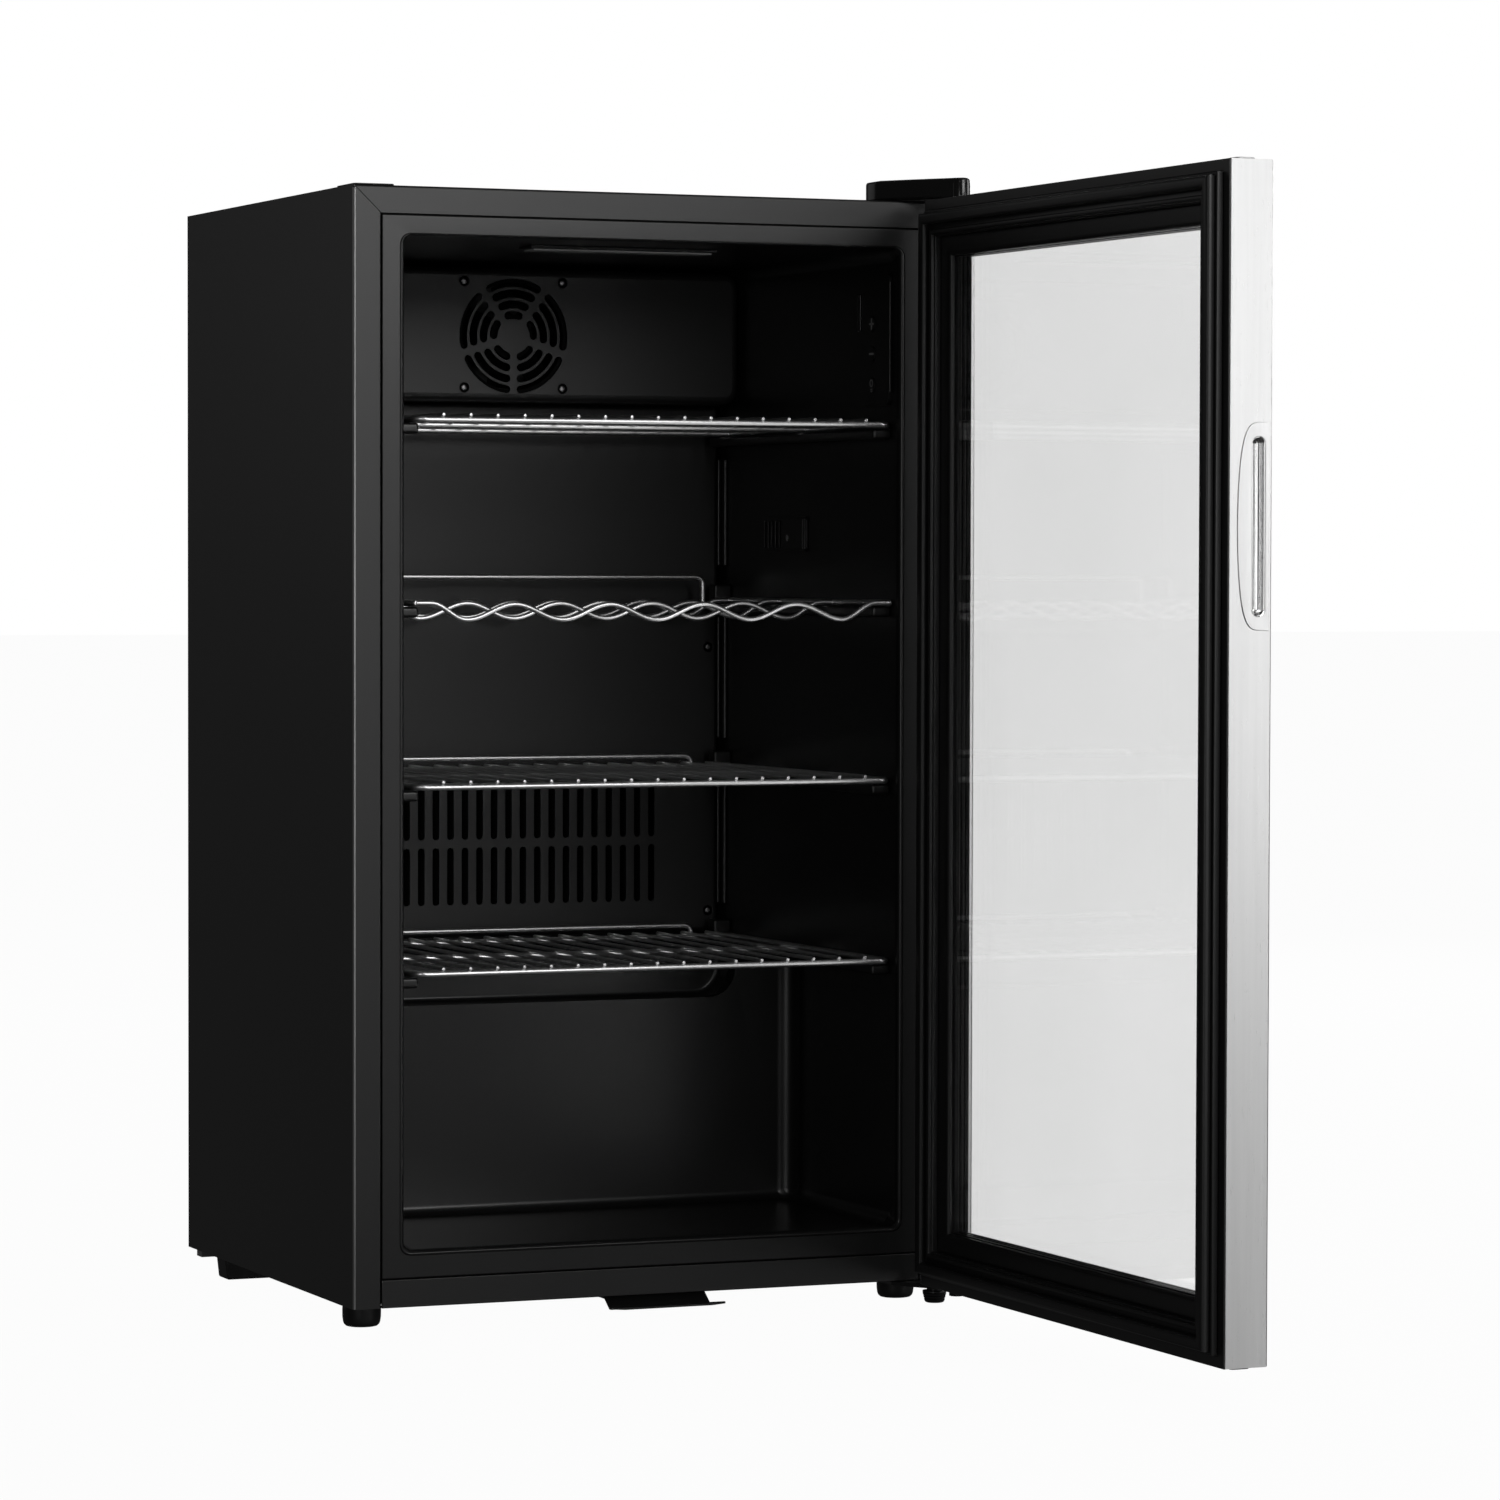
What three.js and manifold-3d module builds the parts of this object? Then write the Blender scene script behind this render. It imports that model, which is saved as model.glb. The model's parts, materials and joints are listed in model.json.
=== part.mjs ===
// Under-counter glass-door mini fridge, shown with its door open. Millimetres, +Z up.
// The origin is the centre of the cabinet's underside; the cabinet's front faces -Y.
// Pieces are drawn in cabinet coordinates: x from the centre, y as depth behind the cabinet's
// front plane, z above the underside. The group called "cabinet" moves them to the origin.
import * as THREE from "three";
import { mergeVertices } from "three/addons/utils/BufferGeometryUtils.js";
import Module from "manifold-3d";

const wasm = await Module();
wasm.setup();

// ---------------------------------------------------------------- driving dimensions
const WIDTH = 480;
const DEPTH = 409;
const HEIGHT = 827;
const GAP = 0.3; // between pieces that touch on the real object
const SHEET = 1; // steel sheet of the outer case
const FLANGE = 21.8; // folded front edge of the case, left and right
const TOP_FLANGE = 21;
const RAIL_HEIGHT = 21; // bottom rail between the side flanges
const RAIL_DEPTH = 12;

const LINER = 2; // plastic of the inner liner
const BAY_HALF_WIDTH = 199.5;
const BAY_FLOOR = 42.5;
const BAY_CEILING = 790.5;
const BAY_REAR = 376;
const BAY_CORNER = 10;
const MOUTH_HALF_WIDTH = 202.6;
const MOUTH_BOTTOM = 39.4;
const MOUTH_TOP = 791.7;
const MOUTH_TAPER = 6; // depth over which the mouth narrows to the bay
const HUMP_FRONT = 200; // step over the compressor compartment
const HUMP_TOP = 236;
const HUMP_FILLET = 10;

const COMPARTMENT_FRONT = 241;
const COMPARTMENT_TOP = 196;

const COVER_FRONT = 350; // evaporator cover
const COVER_BOTTOM = 248;
const FAN_FRONT = 310; // fan housing
const FAN_BOTTOM = 679.5;
const FAN_TOP = 786.5;
const FAN_CENTRE = [1.5, 732]; // x, z

const SHELF_HALF_WIDTH = 194.3;
const SHELF_SHIFT = 4.2; // the shelves rest a little to the right, within their side play
const SHELF_FRONT = 7.5;
const SHELF_REAR = 325;
const FRAME_WIRE = 2.5; // radius
const CROSS_WIRE = 1.5; // radius
const WIRE_PITCH = 21.4;
const TOP_SHELF_Z = 656.4;
const WINE_SHELF_Z = 520.4;
const MIDDLE_SHELF_Z = 384.2;
const BOTTOM_SHELF_Z = 245.6;
const WAVE_PITCH = 76.2;
const WAVE_HEIGHT = 5.75; // half of crest to trough

const DOOR_BOTTOM = 0.7;
const DOOR_TOP = 825.5;
const DOOR_REAR = -12.2; // rear face, ahead of the cabinet when the door is shut
const DOOR_THICKNESS = 34.5;
const DOOR_FRONT = DOOR_REAR - DOOR_THICKNESS;
const DOOR_SKIN = 1.2;
const DOOR_OPEN_ANGLE = THREE.MathUtils.degToRad(90.6);
const PIN_X = 232.4;
const PIN_Y = -38.8;
const PIN_RADIUS = 4;
const APERTURE = 44; // width of the door's rear frame
const FACE_WIDTH = 27; // width of the door's steel face

const FOOT_BOTTOM = -18;

// ---------------------------------------------------------------- solids
// A closed geometry as a manifold-3d solid.
function solid(geometry) {
  const bare = geometry.index ? geometry.toNonIndexed() : geometry.clone();
  bare.deleteAttribute("normal");
  bare.deleteAttribute("uv");
  const merged = mergeVertices(bare, 1e-3);
  return new wasm.Manifold(
    new wasm.Mesh({
      numProp: 3,
      vertProperties: new Float32Array(merged.attributes.position.array),
      triVerts: new Uint32Array(merged.index.array),
    }),
  );
}

// A solid back as a flat-shaded three.js geometry.
function geometryOf(body) {
  const mesh = body.getMesh();
  const geometry = new THREE.BufferGeometry();
  geometry.setAttribute("position", new THREE.BufferAttribute(mesh.vertProperties, mesh.numProp));
  geometry.setIndex(new THREE.BufferAttribute(mesh.triVerts, 1));
  const flat = geometry.toNonIndexed();
  flat.computeVertexNormals();
  return flat;
}

function join(bodies) {
  return bodies.reduce((sum, body) => sum.add(body));
}

function cut(body, tools) {
  return tools.reduce((rest, tool) => rest.subtract(tool), body);
}

function block([x0, x1], [y0, y1], [z0, z1]) {
  const geometry = new THREE.BoxGeometry(x1 - x0, y1 - y0, z1 - z0);
  geometry.translate((x0 + x1) / 2, (y0 + y1) / 2, (z0 + z1) / 2);
  return solid(geometry);
}

function extrusion(shape, length) {
  return new THREE.ExtrudeGeometry(shape, { depth: length, bevelEnabled: false, steps: 1 });
}

// A plan outline (x, y) raised from z0 to z1.
function raise(shape, z0, z1) {
  return solid(extrusion(shape, z1 - z0).translate(0, 0, z0));
}

// A front outline (x, z) pushed back from y0 to y1.
function push(shape, y0, y1) {
  return solid(extrusion(shape, y1 - y0).rotateX(Math.PI / 2).translate(0, y1, 0));
}

// A side outline (y, z) drawn across from x0 to x1.
function across(shape, x0, x1) {
  const turn = new THREE.Matrix4().set(0, 0, 1, 0, 1, 0, 0, 0, 0, 1, 0, 0, 0, 0, 0, 1);
  return solid(extrusion(shape, x1 - x0).applyMatrix4(turn).translate(x0, 0, 0));
}

function outline(points) {
  return new THREE.Shape(points.map(([u, v]) => new THREE.Vector2(u, v)));
}

function arcPoints(cu, cv, radius, from, to, steps) {
  return Array.from({ length: steps + 1 }, (_, i) => {
    const angle = THREE.MathUtils.degToRad(from + ((to - from) * i) / steps);
    return [cu + radius * Math.cos(angle), cv + radius * Math.sin(angle)];
  });
}

function roundedRectangle([u0, u1], [v0, v1], radius, steps = 3) {
  return outline([
    ...arcPoints(u1 - radius, v1 - radius, radius, 0, 90, steps),
    ...arcPoints(u0 + radius, v1 - radius, radius, 90, 180, steps),
    ...arcPoints(u0 + radius, v0 + radius, radius, 180, 270, steps),
    ...arcPoints(u1 - radius, v0 + radius, radius, 270, 360, steps),
  ]);
}

// A round bar between two points.
function rod(from, to, radius, sides = 8) {
  const a = new THREE.Vector3(...from);
  const b = new THREE.Vector3(...to);
  const geometry = new THREE.CylinderGeometry(radius, radius, a.distanceTo(b), sides);
  const aim = new THREE.Quaternion().setFromUnitVectors(
    new THREE.Vector3(0, 1, 0),
    b.clone().sub(a).normalize(),
  );
  geometry.applyQuaternion(aim);
  geometry.translate((a.x + b.x) / 2, (a.y + b.y) / 2, (a.z + b.z) / 2);
  return solid(geometry);
}

// A round bar along a curve.
function wire(curve, radius, steps, sides = 6) {
  const section = outline(arcPoints(0, 0, radius, 0, 360 - 360 / sides, sides - 1));
  return solid(new THREE.ExtrudeGeometry(section, { extrudePath: curve, steps, bevelEnabled: false }));
}

// A quarter or half bend in the plane z = height (or y = depth when upright).
class Bend extends THREE.Curve {
  constructor(centre, radius, from, to, upright = false) {
    super();
    this.centre = centre;
    this.radius = radius;
    this.from = THREE.MathUtils.degToRad(from);
    this.to = THREE.MathUtils.degToRad(to);
    this.upright = upright;
  }

  getPoint(t, target = new THREE.Vector3()) {
    const angle = this.from + (this.to - this.from) * t;
    const u = this.radius * Math.cos(angle);
    const v = this.radius * Math.sin(angle);
    const [x, y, z] = this.centre;
    return this.upright ? target.set(x + u, y, z + v) : target.set(x + u, y + v, z);
  }
}

// A turned piece about a vertical axis; the profile holds (radius, height) points.
function turned(profile, [x, y], sides = 12) {
  const points = profile.map(([radius, height]) => new THREE.Vector2(radius, height));
  const geometry = new THREE.LatheGeometry(points, sides).rotateX(Math.PI / 2).translate(x, y, 0);
  return solid(geometry);
}

// ---------------------------------------------------------------- materials
function material(color, roughness, metalness, extra = {}) {
  return new THREE.MeshStandardMaterial({ color, roughness, metalness, ...extra });
}
const blackPaint = () => material(0x2b2b2c, 0.45, 0.1);
const blackPlastic = () => material(0x1d1d1e, 0.5, 0);
const darkPlastic = () => material(0x151516, 0.6, 0);
const galvanised = () => material(0x9a9c9e, 0.5, 0.8);
const stainless = () => material(0xd4d4d2, 0.3, 1);
const chrome = () => material(0xe4e4e6, 0.1, 1);
const copper = () => material(0xb87348, 0.3, 1);
const aluminium = () => material(0xb9bbbd, 0.4, 0.9);
const rubber = () => material(0x161616, 0.8, 0);
const glass = () => material(0xdfe8e6, 0.05, 0, { transparent: true, opacity: 0.3 });
const foam = () => material(0xe2cf8f, 0.9, 0);
const diffuser = () => material(0xf4f6f7, 0.4, 0);

// ---------------------------------------------------------------- outer case
// Sides and top in one folded sheet, with the front edge turned in and mitred at the top corners.
function cabinetShell() {
  const half = WIDTH / 2;
  const hollow = block([SHEET - half, half - SHEET], [SHEET, DEPTH + 1], [-1, HEIGHT - SHEET]);
  const mouth = block([FLANGE - half, half - FLANGE], [-1, SHEET + 1], [-1, HEIGHT - TOP_FLANGE]);
  const mitres = [-1, 1].map((side) => {
    const groove = new THREE.BoxGeometry(Math.hypot(FLANGE, TOP_FLANGE) * 0.94, 0.8, 0.5);
    groove.rotateY(-side * Math.atan2(TOP_FLANGE, FLANGE));
    groove.translate(side * (half - FLANGE / 2), 0, HEIGHT - TOP_FLANGE / 2);
    return solid(groove);
  });
  return cut(block([-half, half], [0, DEPTH], [0, HEIGHT]), [hollow, mouth, ...mitres]);
}

function frontRail() {
  const reach = WIDTH / 2 - FLANGE - GAP;
  const top = RAIL_HEIGHT - GAP;
  const channel = block([-reach - 1, reach + 1], [SHEET, 20], [SHEET, top - SHEET]);
  return block([-reach, reach], [0, RAIL_DEPTH], [0, top]).subtract(channel);
}

const FEET_X = 218.5;
const FRONT_FEET_Y = 44;
const STEM_RADIUS = 4;
const PAN_BOTTOM = 1;
const PAN_TOP = 2.2;
const PAN_REAR = COMPARTMENT_FRONT - 1;

// Floor of the case, with a shallow pad pressed down to the underside plane.
function basePan() {
  const reach = WIDTH / 2 - SHEET - GAP;
  const plate = block([-reach, reach], [RAIL_DEPTH + GAP, PAN_REAR], [PAN_BOTTOM, PAN_TOP]);
  const pad = block([-90, 90], [DEPTH / 2 - 28, DEPTH / 2 + 28], [0, PAN_BOTTOM + 0.5]);
  const holes = [-FEET_X, FEET_X].map((x) =>
    rod([x, FRONT_FEET_Y, 0], [x, FRONT_FEET_Y, 4], STEM_RADIUS + 0.8, 12),
  );
  return cut(plate.add(pad), holes);
}

const BACK_PLANE = DEPTH - GAP;
const COVER_SPLIT_Z = 227; // compartment cover below, rear panel above

function rearPanel() {
  const reach = WIDTH / 2 - SHEET - GAP;
  const high = HEIGHT - SHEET - GAP;
  return block([-reach, reach], [BACK_PLANE - SHEET, BACK_PLANE], [COVER_SPLIT_Z + GAP, high]);
}

function hingeHoleCap() {
  return raise(roundedRectangle([-239, -205], [2, 48], 4), HEIGHT + GAP, HEIGHT + 2.2);
}

// ---------------------------------------------------------------- liner and insulation
const NOTCH_HALF_WIDTH = 149;
const NOTCH_BOTTOM = 206;
const NOTCH_REAR = 234;

function planOutline(halfWidth, front, rear, radius) {
  return outline([
    [-halfWidth, front],
    [halfWidth, front],
    ...arcPoints(halfWidth - radius, rear - radius, radius, 0, 90, 4),
    ...arcPoints(radius - halfWidth, rear - radius, radius, 90, 180, 4),
  ]);
}

// The storage space, from depth "front" to the back, grown outwards on every side.
function bay(grow, front) {
  const half = BAY_HALF_WIDTH + grow;
  const tunnel = push(
    roundedRectangle([-half, half], [BAY_FLOOR - grow, BAY_CEILING + grow], BAY_CORNER + grow),
    front,
    BAY_REAR + grow,
  );
  const lower = raise(
    planOutline(half, front, HUMP_FRONT + grow, HUMP_FILLET + grow),
    BAY_FLOOR - grow,
    HUMP_TOP + 1,
  );
  const upper = raise(
    planOutline(half, front, BAY_REAR + grow, 8 + grow),
    HUMP_TOP - grow,
    BAY_CEILING + grow,
  );
  const notch = push(
    roundedRectangle(
      [-NOTCH_HALF_WIDTH - grow, NOTCH_HALF_WIDTH + grow],
      [NOTCH_BOTTOM - grow, HUMP_TOP + 60],
      22 + grow,
    ),
    HUMP_FRONT - 20,
    NOTCH_REAR + grow,
  );
  return lower.add(upper).intersect(tunnel).add(notch);
}

// The bevelled mouth between the front frame and the bay.
function mouthTaper() {
  const centre = (MOUTH_BOTTOM + MOUTH_TOP) / 2;
  const shape = roundedRectangle(
    [-MOUTH_HALF_WIDTH, MOUTH_HALF_WIDTH],
    [MOUTH_BOTTOM - centre, MOUTH_TOP - centre],
    BAY_CORNER,
  );
  const geometry = extrusion(shape, MOUTH_TAPER).rotateX(Math.PI / 2).translate(0, MOUTH_TAPER, centre);
  const place = geometry.attributes.position;
  const narrowX = BAY_HALF_WIDTH / MOUTH_HALF_WIDTH;
  const narrowZ = (BAY_CEILING - BAY_FLOOR) / (MOUTH_TOP - MOUTH_BOTTOM);
  const bayCentre = (BAY_CEILING + BAY_FLOOR) / 2;
  for (let i = 0; i < place.count; i += 1) {
    if (place.getY(i) > MOUTH_TAPER / 2) {
      place.setX(i, place.getX(i) * narrowX);
      place.setZ(i, bayCentre + (place.getZ(i) - centre) * narrowZ);
    }
  }
  return solid(geometry);
}

const LEDGE_INNER = 184;
const LEDGE_HEIGHT = 8;
const DRAIN = [60, 330];
const SHELF_LEVELS = [TOP_SHELF_Z, WINE_SHELF_Z, MIDDLE_SHELF_Z, BOTTOM_SHELF_Z];

// A shelf runner on each side wall, with a stop lug behind the shelf.
function shelfLedges() {
  return SHELF_LEVELS.flatMap((level) => {
    const top = level - FRAME_WIRE - GAP;
    return [-1, 1].flatMap((side) => {
      const reach = [side * LEDGE_INNER, side * (BAY_HALF_WIDTH + 1)].sort((a, b) => a - b);
      return [
        block(reach, [14, 341], [top - LEDGE_HEIGHT, top]),
        block(reach, [SHELF_REAR + 3, 341], [top - 1, top + 16]),
      ];
    });
  });
}

function innerLiner() {
  const reach = WIDTH / 2 - FLANGE - GAP;
  const frame = block(
    [-reach, reach],
    [0, LINER],
    [RAIL_HEIGHT + GAP, HEIGHT - TOP_FLANGE - GAP],
  );
  const skin = bay(LINER, 0).add(frame);
  const drain = rod([...DRAIN, HUMP_TOP - 10], [...DRAIN, HUMP_TOP + 10], 5.6, 12);
  const hollow = cut(skin, [bay(0, -1), mouthTaper(), drain]);
  return join([hollow, ...shelfLedges()]);
}

// Foam between case and liner. It keeps clear of everything that it would be poured around.
function insulationFoam() {
  const reach = WIDTH / 2 - SHEET - 2 * GAP;
  const body = block([-reach, reach], [LINER + GAP, 400], [PAN_TOP + GAP, HEIGHT - SHEET - GAP]);
  const stems = [-FEET_X, FEET_X].map((x) =>
    rod([x, FRONT_FEET_Y, 0], [x, FRONT_FEET_Y, 16], STEM_RADIUS + 3, 8),
  );
  return cut(body, [
    bay(LINER + GAP, -1),
    block([-WIDTH, WIDTH], [0, RAIL_DEPTH + GAP], [0, RAIL_HEIGHT]),
    block([-WIDTH, WIDTH], [COMPARTMENT_FRONT - 2 * GAP, DEPTH], [0, COMPARTMENT_TOP + SHEET + GAP]),
    rod([...DRAIN, 190], [...DRAIN, 240], 6.5, 12),
    ...stems,
  ]);
}

// ---------------------------------------------------------------- cold side
const SLOT_PITCH = 12.5;
const SLOT_HALF_WIDTH = 2.5;

function slot([u0, u1], [v0, v1]) {
  const radius = (u1 - u0) / 2;
  return outline([
    ...arcPoints(u1 - radius, v1 - radius, radius, 0, 180, 2),
    ...arcPoints(u1 - radius, v0 + radius, radius, 180, 360, 2),
  ]);
}

// Upright slots in a row, centred on x = 0.
function slotRow(count, pitch, halfWidth, z, y) {
  return Array.from({ length: count }, (_, i) => {
    const x = (i - (count - 1) / 2) * pitch;
    return push(slot([x - halfWidth, x + halfWidth], z), ...y);
  });
}

// Shallow tray over the evaporator, with two rows of return-air slots.
function evaporatorCover() {
  const half = 196;
  const face = block([-half, half], [COVER_FRONT, 372], [COVER_BOTTOM, FAN_BOTTOM - GAP]);
  const inside = block([2 - half, half - 2], [COVER_FRONT + 2, 400], [0, HEIGHT]);
  const through = [COVER_FRONT - 1, COVER_FRONT + 3];
  return cut(face, [
    inside,
    ...slotRow(23, SLOT_PITCH, SLOT_HALF_WIDTH, [273.8, 320.3], through),
    ...slotRow(23, SLOT_PITCH, SLOT_HALF_WIDTH, [326.8, 373], through),
  ]);
}

// Finned block behind the cover.
function evaporator() {
  const fins = 18;
  const points = [[-150, 370]];
  for (let i = 0; i < fins; i += 1) {
    const x = -150 + (i * 300) / fins;
    points.push([x, 354], [x + 2, 354], [x + 2, 366], [x + 300 / fins, 366]);
  }
  points.push([150, 354], [152, 354], [152, 370]);
  return raise(outline(points), 400, 650);
}

const GRILLE_RINGS = [17, 25.6, 34.3, 42.9];
const GRILLE_SLOT = 5;

// A ring slot between two spokes.
function grilleSlot(radius, from, to) {
  const steps = 4;
  const half = GRILLE_SLOT / 2;
  const outer = arcPoints(...FAN_CENTRE, radius + half, from, to, steps);
  const inner = arcPoints(...FAN_CENTRE, radius - half, to, from, steps);
  return push(outline([...outer, ...inner]), FAN_FRONT - 1, FAN_FRONT + 3);
}

function fanHousing() {
  const skin = push(roundedRectangle([-198, 198], [FAN_BOTTOM, FAN_TOP], 13), FAN_FRONT, 371);
  const inside = push(
    roundedRectangle([-196, 196], [FAN_BOTTOM + 2, FAN_TOP - 2], 11),
    FAN_FRONT + 2,
    380,
  );
  const spokeGap = 7; // mm left between the slots of a ring
  const slots = GRILLE_RINGS.flatMap((radius) =>
    [-90, -18, 54, 126, 198].map((spoke) => {
      const margin = THREE.MathUtils.radToDeg(spokeGap / 2 / radius);
      return grilleSlot(radius, spoke + margin, spoke + 72 - margin);
    }),
  );
  return cut(skin, [inside, ...slots]);
}

const FAN_HALF = 46;
const FAN_Y = [FAN_FRONT + 2 + GAP, FAN_FRONT + 27];
const STATOR_Y = FAN_Y[1] - 5;

// A round bar on the fan's axis.
function onFanAxis(y0, y1, radius, sides) {
  const [x, z] = FAN_CENTRE;
  return rod([x, y0, z], [x, y1, z], radius, sides);
}

function fanFrame() {
  const [x, z] = FAN_CENTRE;
  const box = block([x - FAN_HALF, x + FAN_HALF], FAN_Y, [z - FAN_HALF, z + FAN_HALF]);
  const bore = onFanAxis(FAN_FRONT, FAN_Y[1] + 5, 43.5, 24);
  const stator = onFanAxis(STATOR_Y, FAN_Y[1], 17, 16);
  const struts = [45, 165, 285].map((angle) => {
    const a = THREE.MathUtils.degToRad(angle);
    const along = (r) => [x + r * Math.cos(a), FAN_Y[1] - 2, z + r * Math.sin(a)];
    return rod(along(14), along(45), 2, 6);
  });
  const bearing = onFanAxis(FAN_FRONT, FAN_Y[1] + 5, 3.2, 12);
  return join([box.subtract(bore), stator, ...struts]).subtract(bearing);
}

// Hub, shaft and seven pitched blades.
function fanRotor() {
  const [x, z] = FAN_CENTRE;
  const hub = onFanAxis(FAN_Y[0] + 2, STATOR_Y - 1, 18, 16);
  const shaft = onFanAxis(STATOR_Y - 3, STATOR_Y + 4, 2.4, 10);
  const blades = Array.from({ length: 7 }, (_, i) => {
    const blade = new THREE.BoxGeometry(26, 1.6, 19);
    blade.rotateX(THREE.MathUtils.degToRad(38));
    blade.translate(29, (FAN_Y[0] + STATOR_Y) / 2, 0);
    blade.rotateY((i * 2 * Math.PI) / 7);
    blade.translate(x, 0, z);
    return solid(blade);
  });
  const sweep = onFanAxis(FAN_FRONT, FAN_Y[1] + 5, 42, 28);
  return join([hub, shaft, ...blades]).intersect(sweep);
}

// Slim strip lamp under the ceiling of the bay.
const LAMP_HALF = 76;
const LAMP_Y = [66, 92];
const LAMP_LOW = 788;
const LENS_INSET = 3;

function lampHousing() {
  return block([-LAMP_HALF, LAMP_HALF], LAMP_Y, [LAMP_LOW, BAY_CEILING - GAP]);
}

function lampLens() {
  const reach = LAMP_HALF - LENS_INSET;
  const y = [LAMP_Y[0] + LENS_INSET, LAMP_Y[1] - LENS_INSET];
  return block([-reach, reach], y, [LAMP_LOW - GAP - 1.2, LAMP_LOW - GAP]);
}

const PANEL_FACE_X = 196.4;
const WALL_X = BAY_HALF_WIDTH - GAP;
const BUTTON_Y = 43.5;
const BUTTON_RADIUS = 6;
const BUTTON_Z = { plus_button: 735, minus_button: 712, lamp_button: 688 };

// Switch panel on the right wall.
function controlPanel() {
  const plate = across(roundedRectangle([13, 78], [672, 773], 5), PANEL_FACE_X, WALL_X);
  const holes = Object.values(BUTTON_Z).map((z) =>
    rod([PANEL_FACE_X - 1, BUTTON_Y, z], [WALL_X + 1, BUTTON_Y, z], BUTTON_RADIUS + 0.5, 16),
  );
  return cut(plate, holes);
}

function panelButton(z) {
  return rod([PANEL_FACE_X - 0.8, BUTTON_Y, z], [PANEL_FACE_X + 1.4, BUTTON_Y, z], BUTTON_RADIUS, 16);
}

// Ribbed guard over the temperature probe.
function sensorCover() {
  const plate = across(roundedRectangle([172, 258], [560, 588], 4), WALL_X - 2, WALL_X);
  const box = block([WALL_X - 4.5, WALL_X - 1], [174, 216], [562, 586]);
  const ribs = Array.from({ length: 5 }, (_, i) =>
    block([WALL_X - 4.5, WALL_X - 1], [220 + i * 7.4, 223 + i * 7.4], [563, 585]),
  );
  return join([plate, box, ...ribs]);
}

// ---------------------------------------------------------------- compressor compartment
const COMPRESSOR = [95, 322];
const COMPRESSOR_RADIUS = 56;
const PLATE_TOP = 2;
const GROMMET_HEIGHT = 12;
const COMPRESSOR_FOOT_Z = PLATE_TOP + GAP + GROMMET_HEIGHT + GAP;
const COMPRESSOR_TOP = 166;

// Steel step that closes the foam off from the compartment.
function compartmentPanel() {
  const reach = WIDTH / 2 - SHEET - 2 * GAP;
  const wall = block(
    [-reach, reach],
    [COMPARTMENT_FRONT - GAP, COMPARTMENT_FRONT + SHEET],
    [PLATE_TOP + GAP, COMPARTMENT_TOP + SHEET],
  );
  const roof = block(
    [-reach, reach],
    [COMPARTMENT_FRONT, 405],
    [COMPARTMENT_TOP, COMPARTMENT_TOP + SHEET],
  );
  const hole = rod([...DRAIN, COMPARTMENT_TOP - 5], [...DRAIN, COMPARTMENT_TOP + 5], 5.6, 12);
  return wall.add(roof).subtract(hole);
}

// Base plate that carries the compressor, with a carrying tab at each rear corner.
function compressorPlate() {
  const reach = WIDTH / 2 - SHEET - GAP;
  const plate = block([-reach, reach], [PAN_REAR + GAP, 405], [0, PLATE_TOP]);
  const tabs = [-1, 1].map((side) => {
    const x = [side * 216, side * 234].sort((a, b) => a - b);
    return block(x, [392, 405], [-7, 1]);
  });
  return join([plate, ...tabs]);
}

function grommet(dx, dy) {
  const [x, y] = COMPRESSOR;
  const low = PLATE_TOP + GAP;
  const profile = [[0, 0], [9, 0], [9, 4], [6.5, 6], [9, 8], [9, 12], [0, 12]];
  return turned(profile.map(([r, h]) => [r, low + h]), [x + dx, y + dy], 10);
}

// Welded steel pot on its foot plate.
function compressor() {
  const [x, y] = COMPRESSOR;
  const low = COMPRESSOR_FOOT_Z;
  const r = COMPRESSOR_RADIUS;
  const pot = turned(
    [
      [0, low + 1], [r * 0.6, low + 1], [r * 0.9, low + 14], [r * 0.97, low + 36],
      [r * 0.97, low + 70], [r, low + 72], [r, low + 78], [r * 0.97, low + 80],
      [r * 0.97, low + 112], [r * 0.88, low + 134], [r * 0.6, COMPRESSOR_TOP - 3], [0, COMPRESSOR_TOP],
    ],
    COMPRESSOR,
    20,
  );
  const foot = raise(roundedRectangle([x - 72, x + 72], [y - 54, y + 54], 10), low, low + 3);
  return pot.add(foot);
}

function relayBox() {
  const right = COMPRESSOR[0] - COMPRESSOR_RADIUS - GAP;
  return across(roundedRectangle([300, 345], [60, 118], 4), right - 34, right);
}

function pipe(points, radius, steps) {
  const curve = new THREE.CatmullRomCurve3(points.map((p) => new THREE.Vector3(...p)));
  return wire(curve, radius, steps, 8);
}

function dischargePipe() {
  return pipe([[148, 282, 50], [172, 270, 56], [192, 262, 96], [196, 260, 150], [186, 262, 190]], 3, 12);
}

function suctionPipe() {
  return pipe([[42, 282, 46], [16, 268, 54], [-8, 262, 100], [-14, 260, 150], [-12, 262, 190]], 4, 12);
}

function filterDrier() {
  const profile = [[0, 56], [3, 56], [3, 68], [9, 78], [9, 142], [3, 152], [3, 166], [0, 166]];
  return turned(profile, [-70, 300], 12);
}

// Open tray on top of the compressor, where drain water evaporates.
function dripTray() {
  const low = COMPRESSOR_TOP + GAP;
  const tray = block([40, 150], [270, 378], [low, low + 20]);
  return tray.subtract(block([42, 148], [272, 376], [low + 2, low + 30]));
}

function drainHose() {
  const from = [...DRAIN, HUMP_TOP + 1];
  const to = [...DRAIN, COMPRESSOR_TOP + 12];
  const bore = rod([...DRAIN, HUMP_TOP + 5], [...DRAIN, COMPRESSOR_TOP], 3.4, 12);
  return rod(from, to, 5, 12).subtract(bore);
}

const COIL_Y = 403.4;
const COIL_RADIUS = 2.4;
const COIL_RUNS = 7;
const COIL_PITCH = 74;

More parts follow.
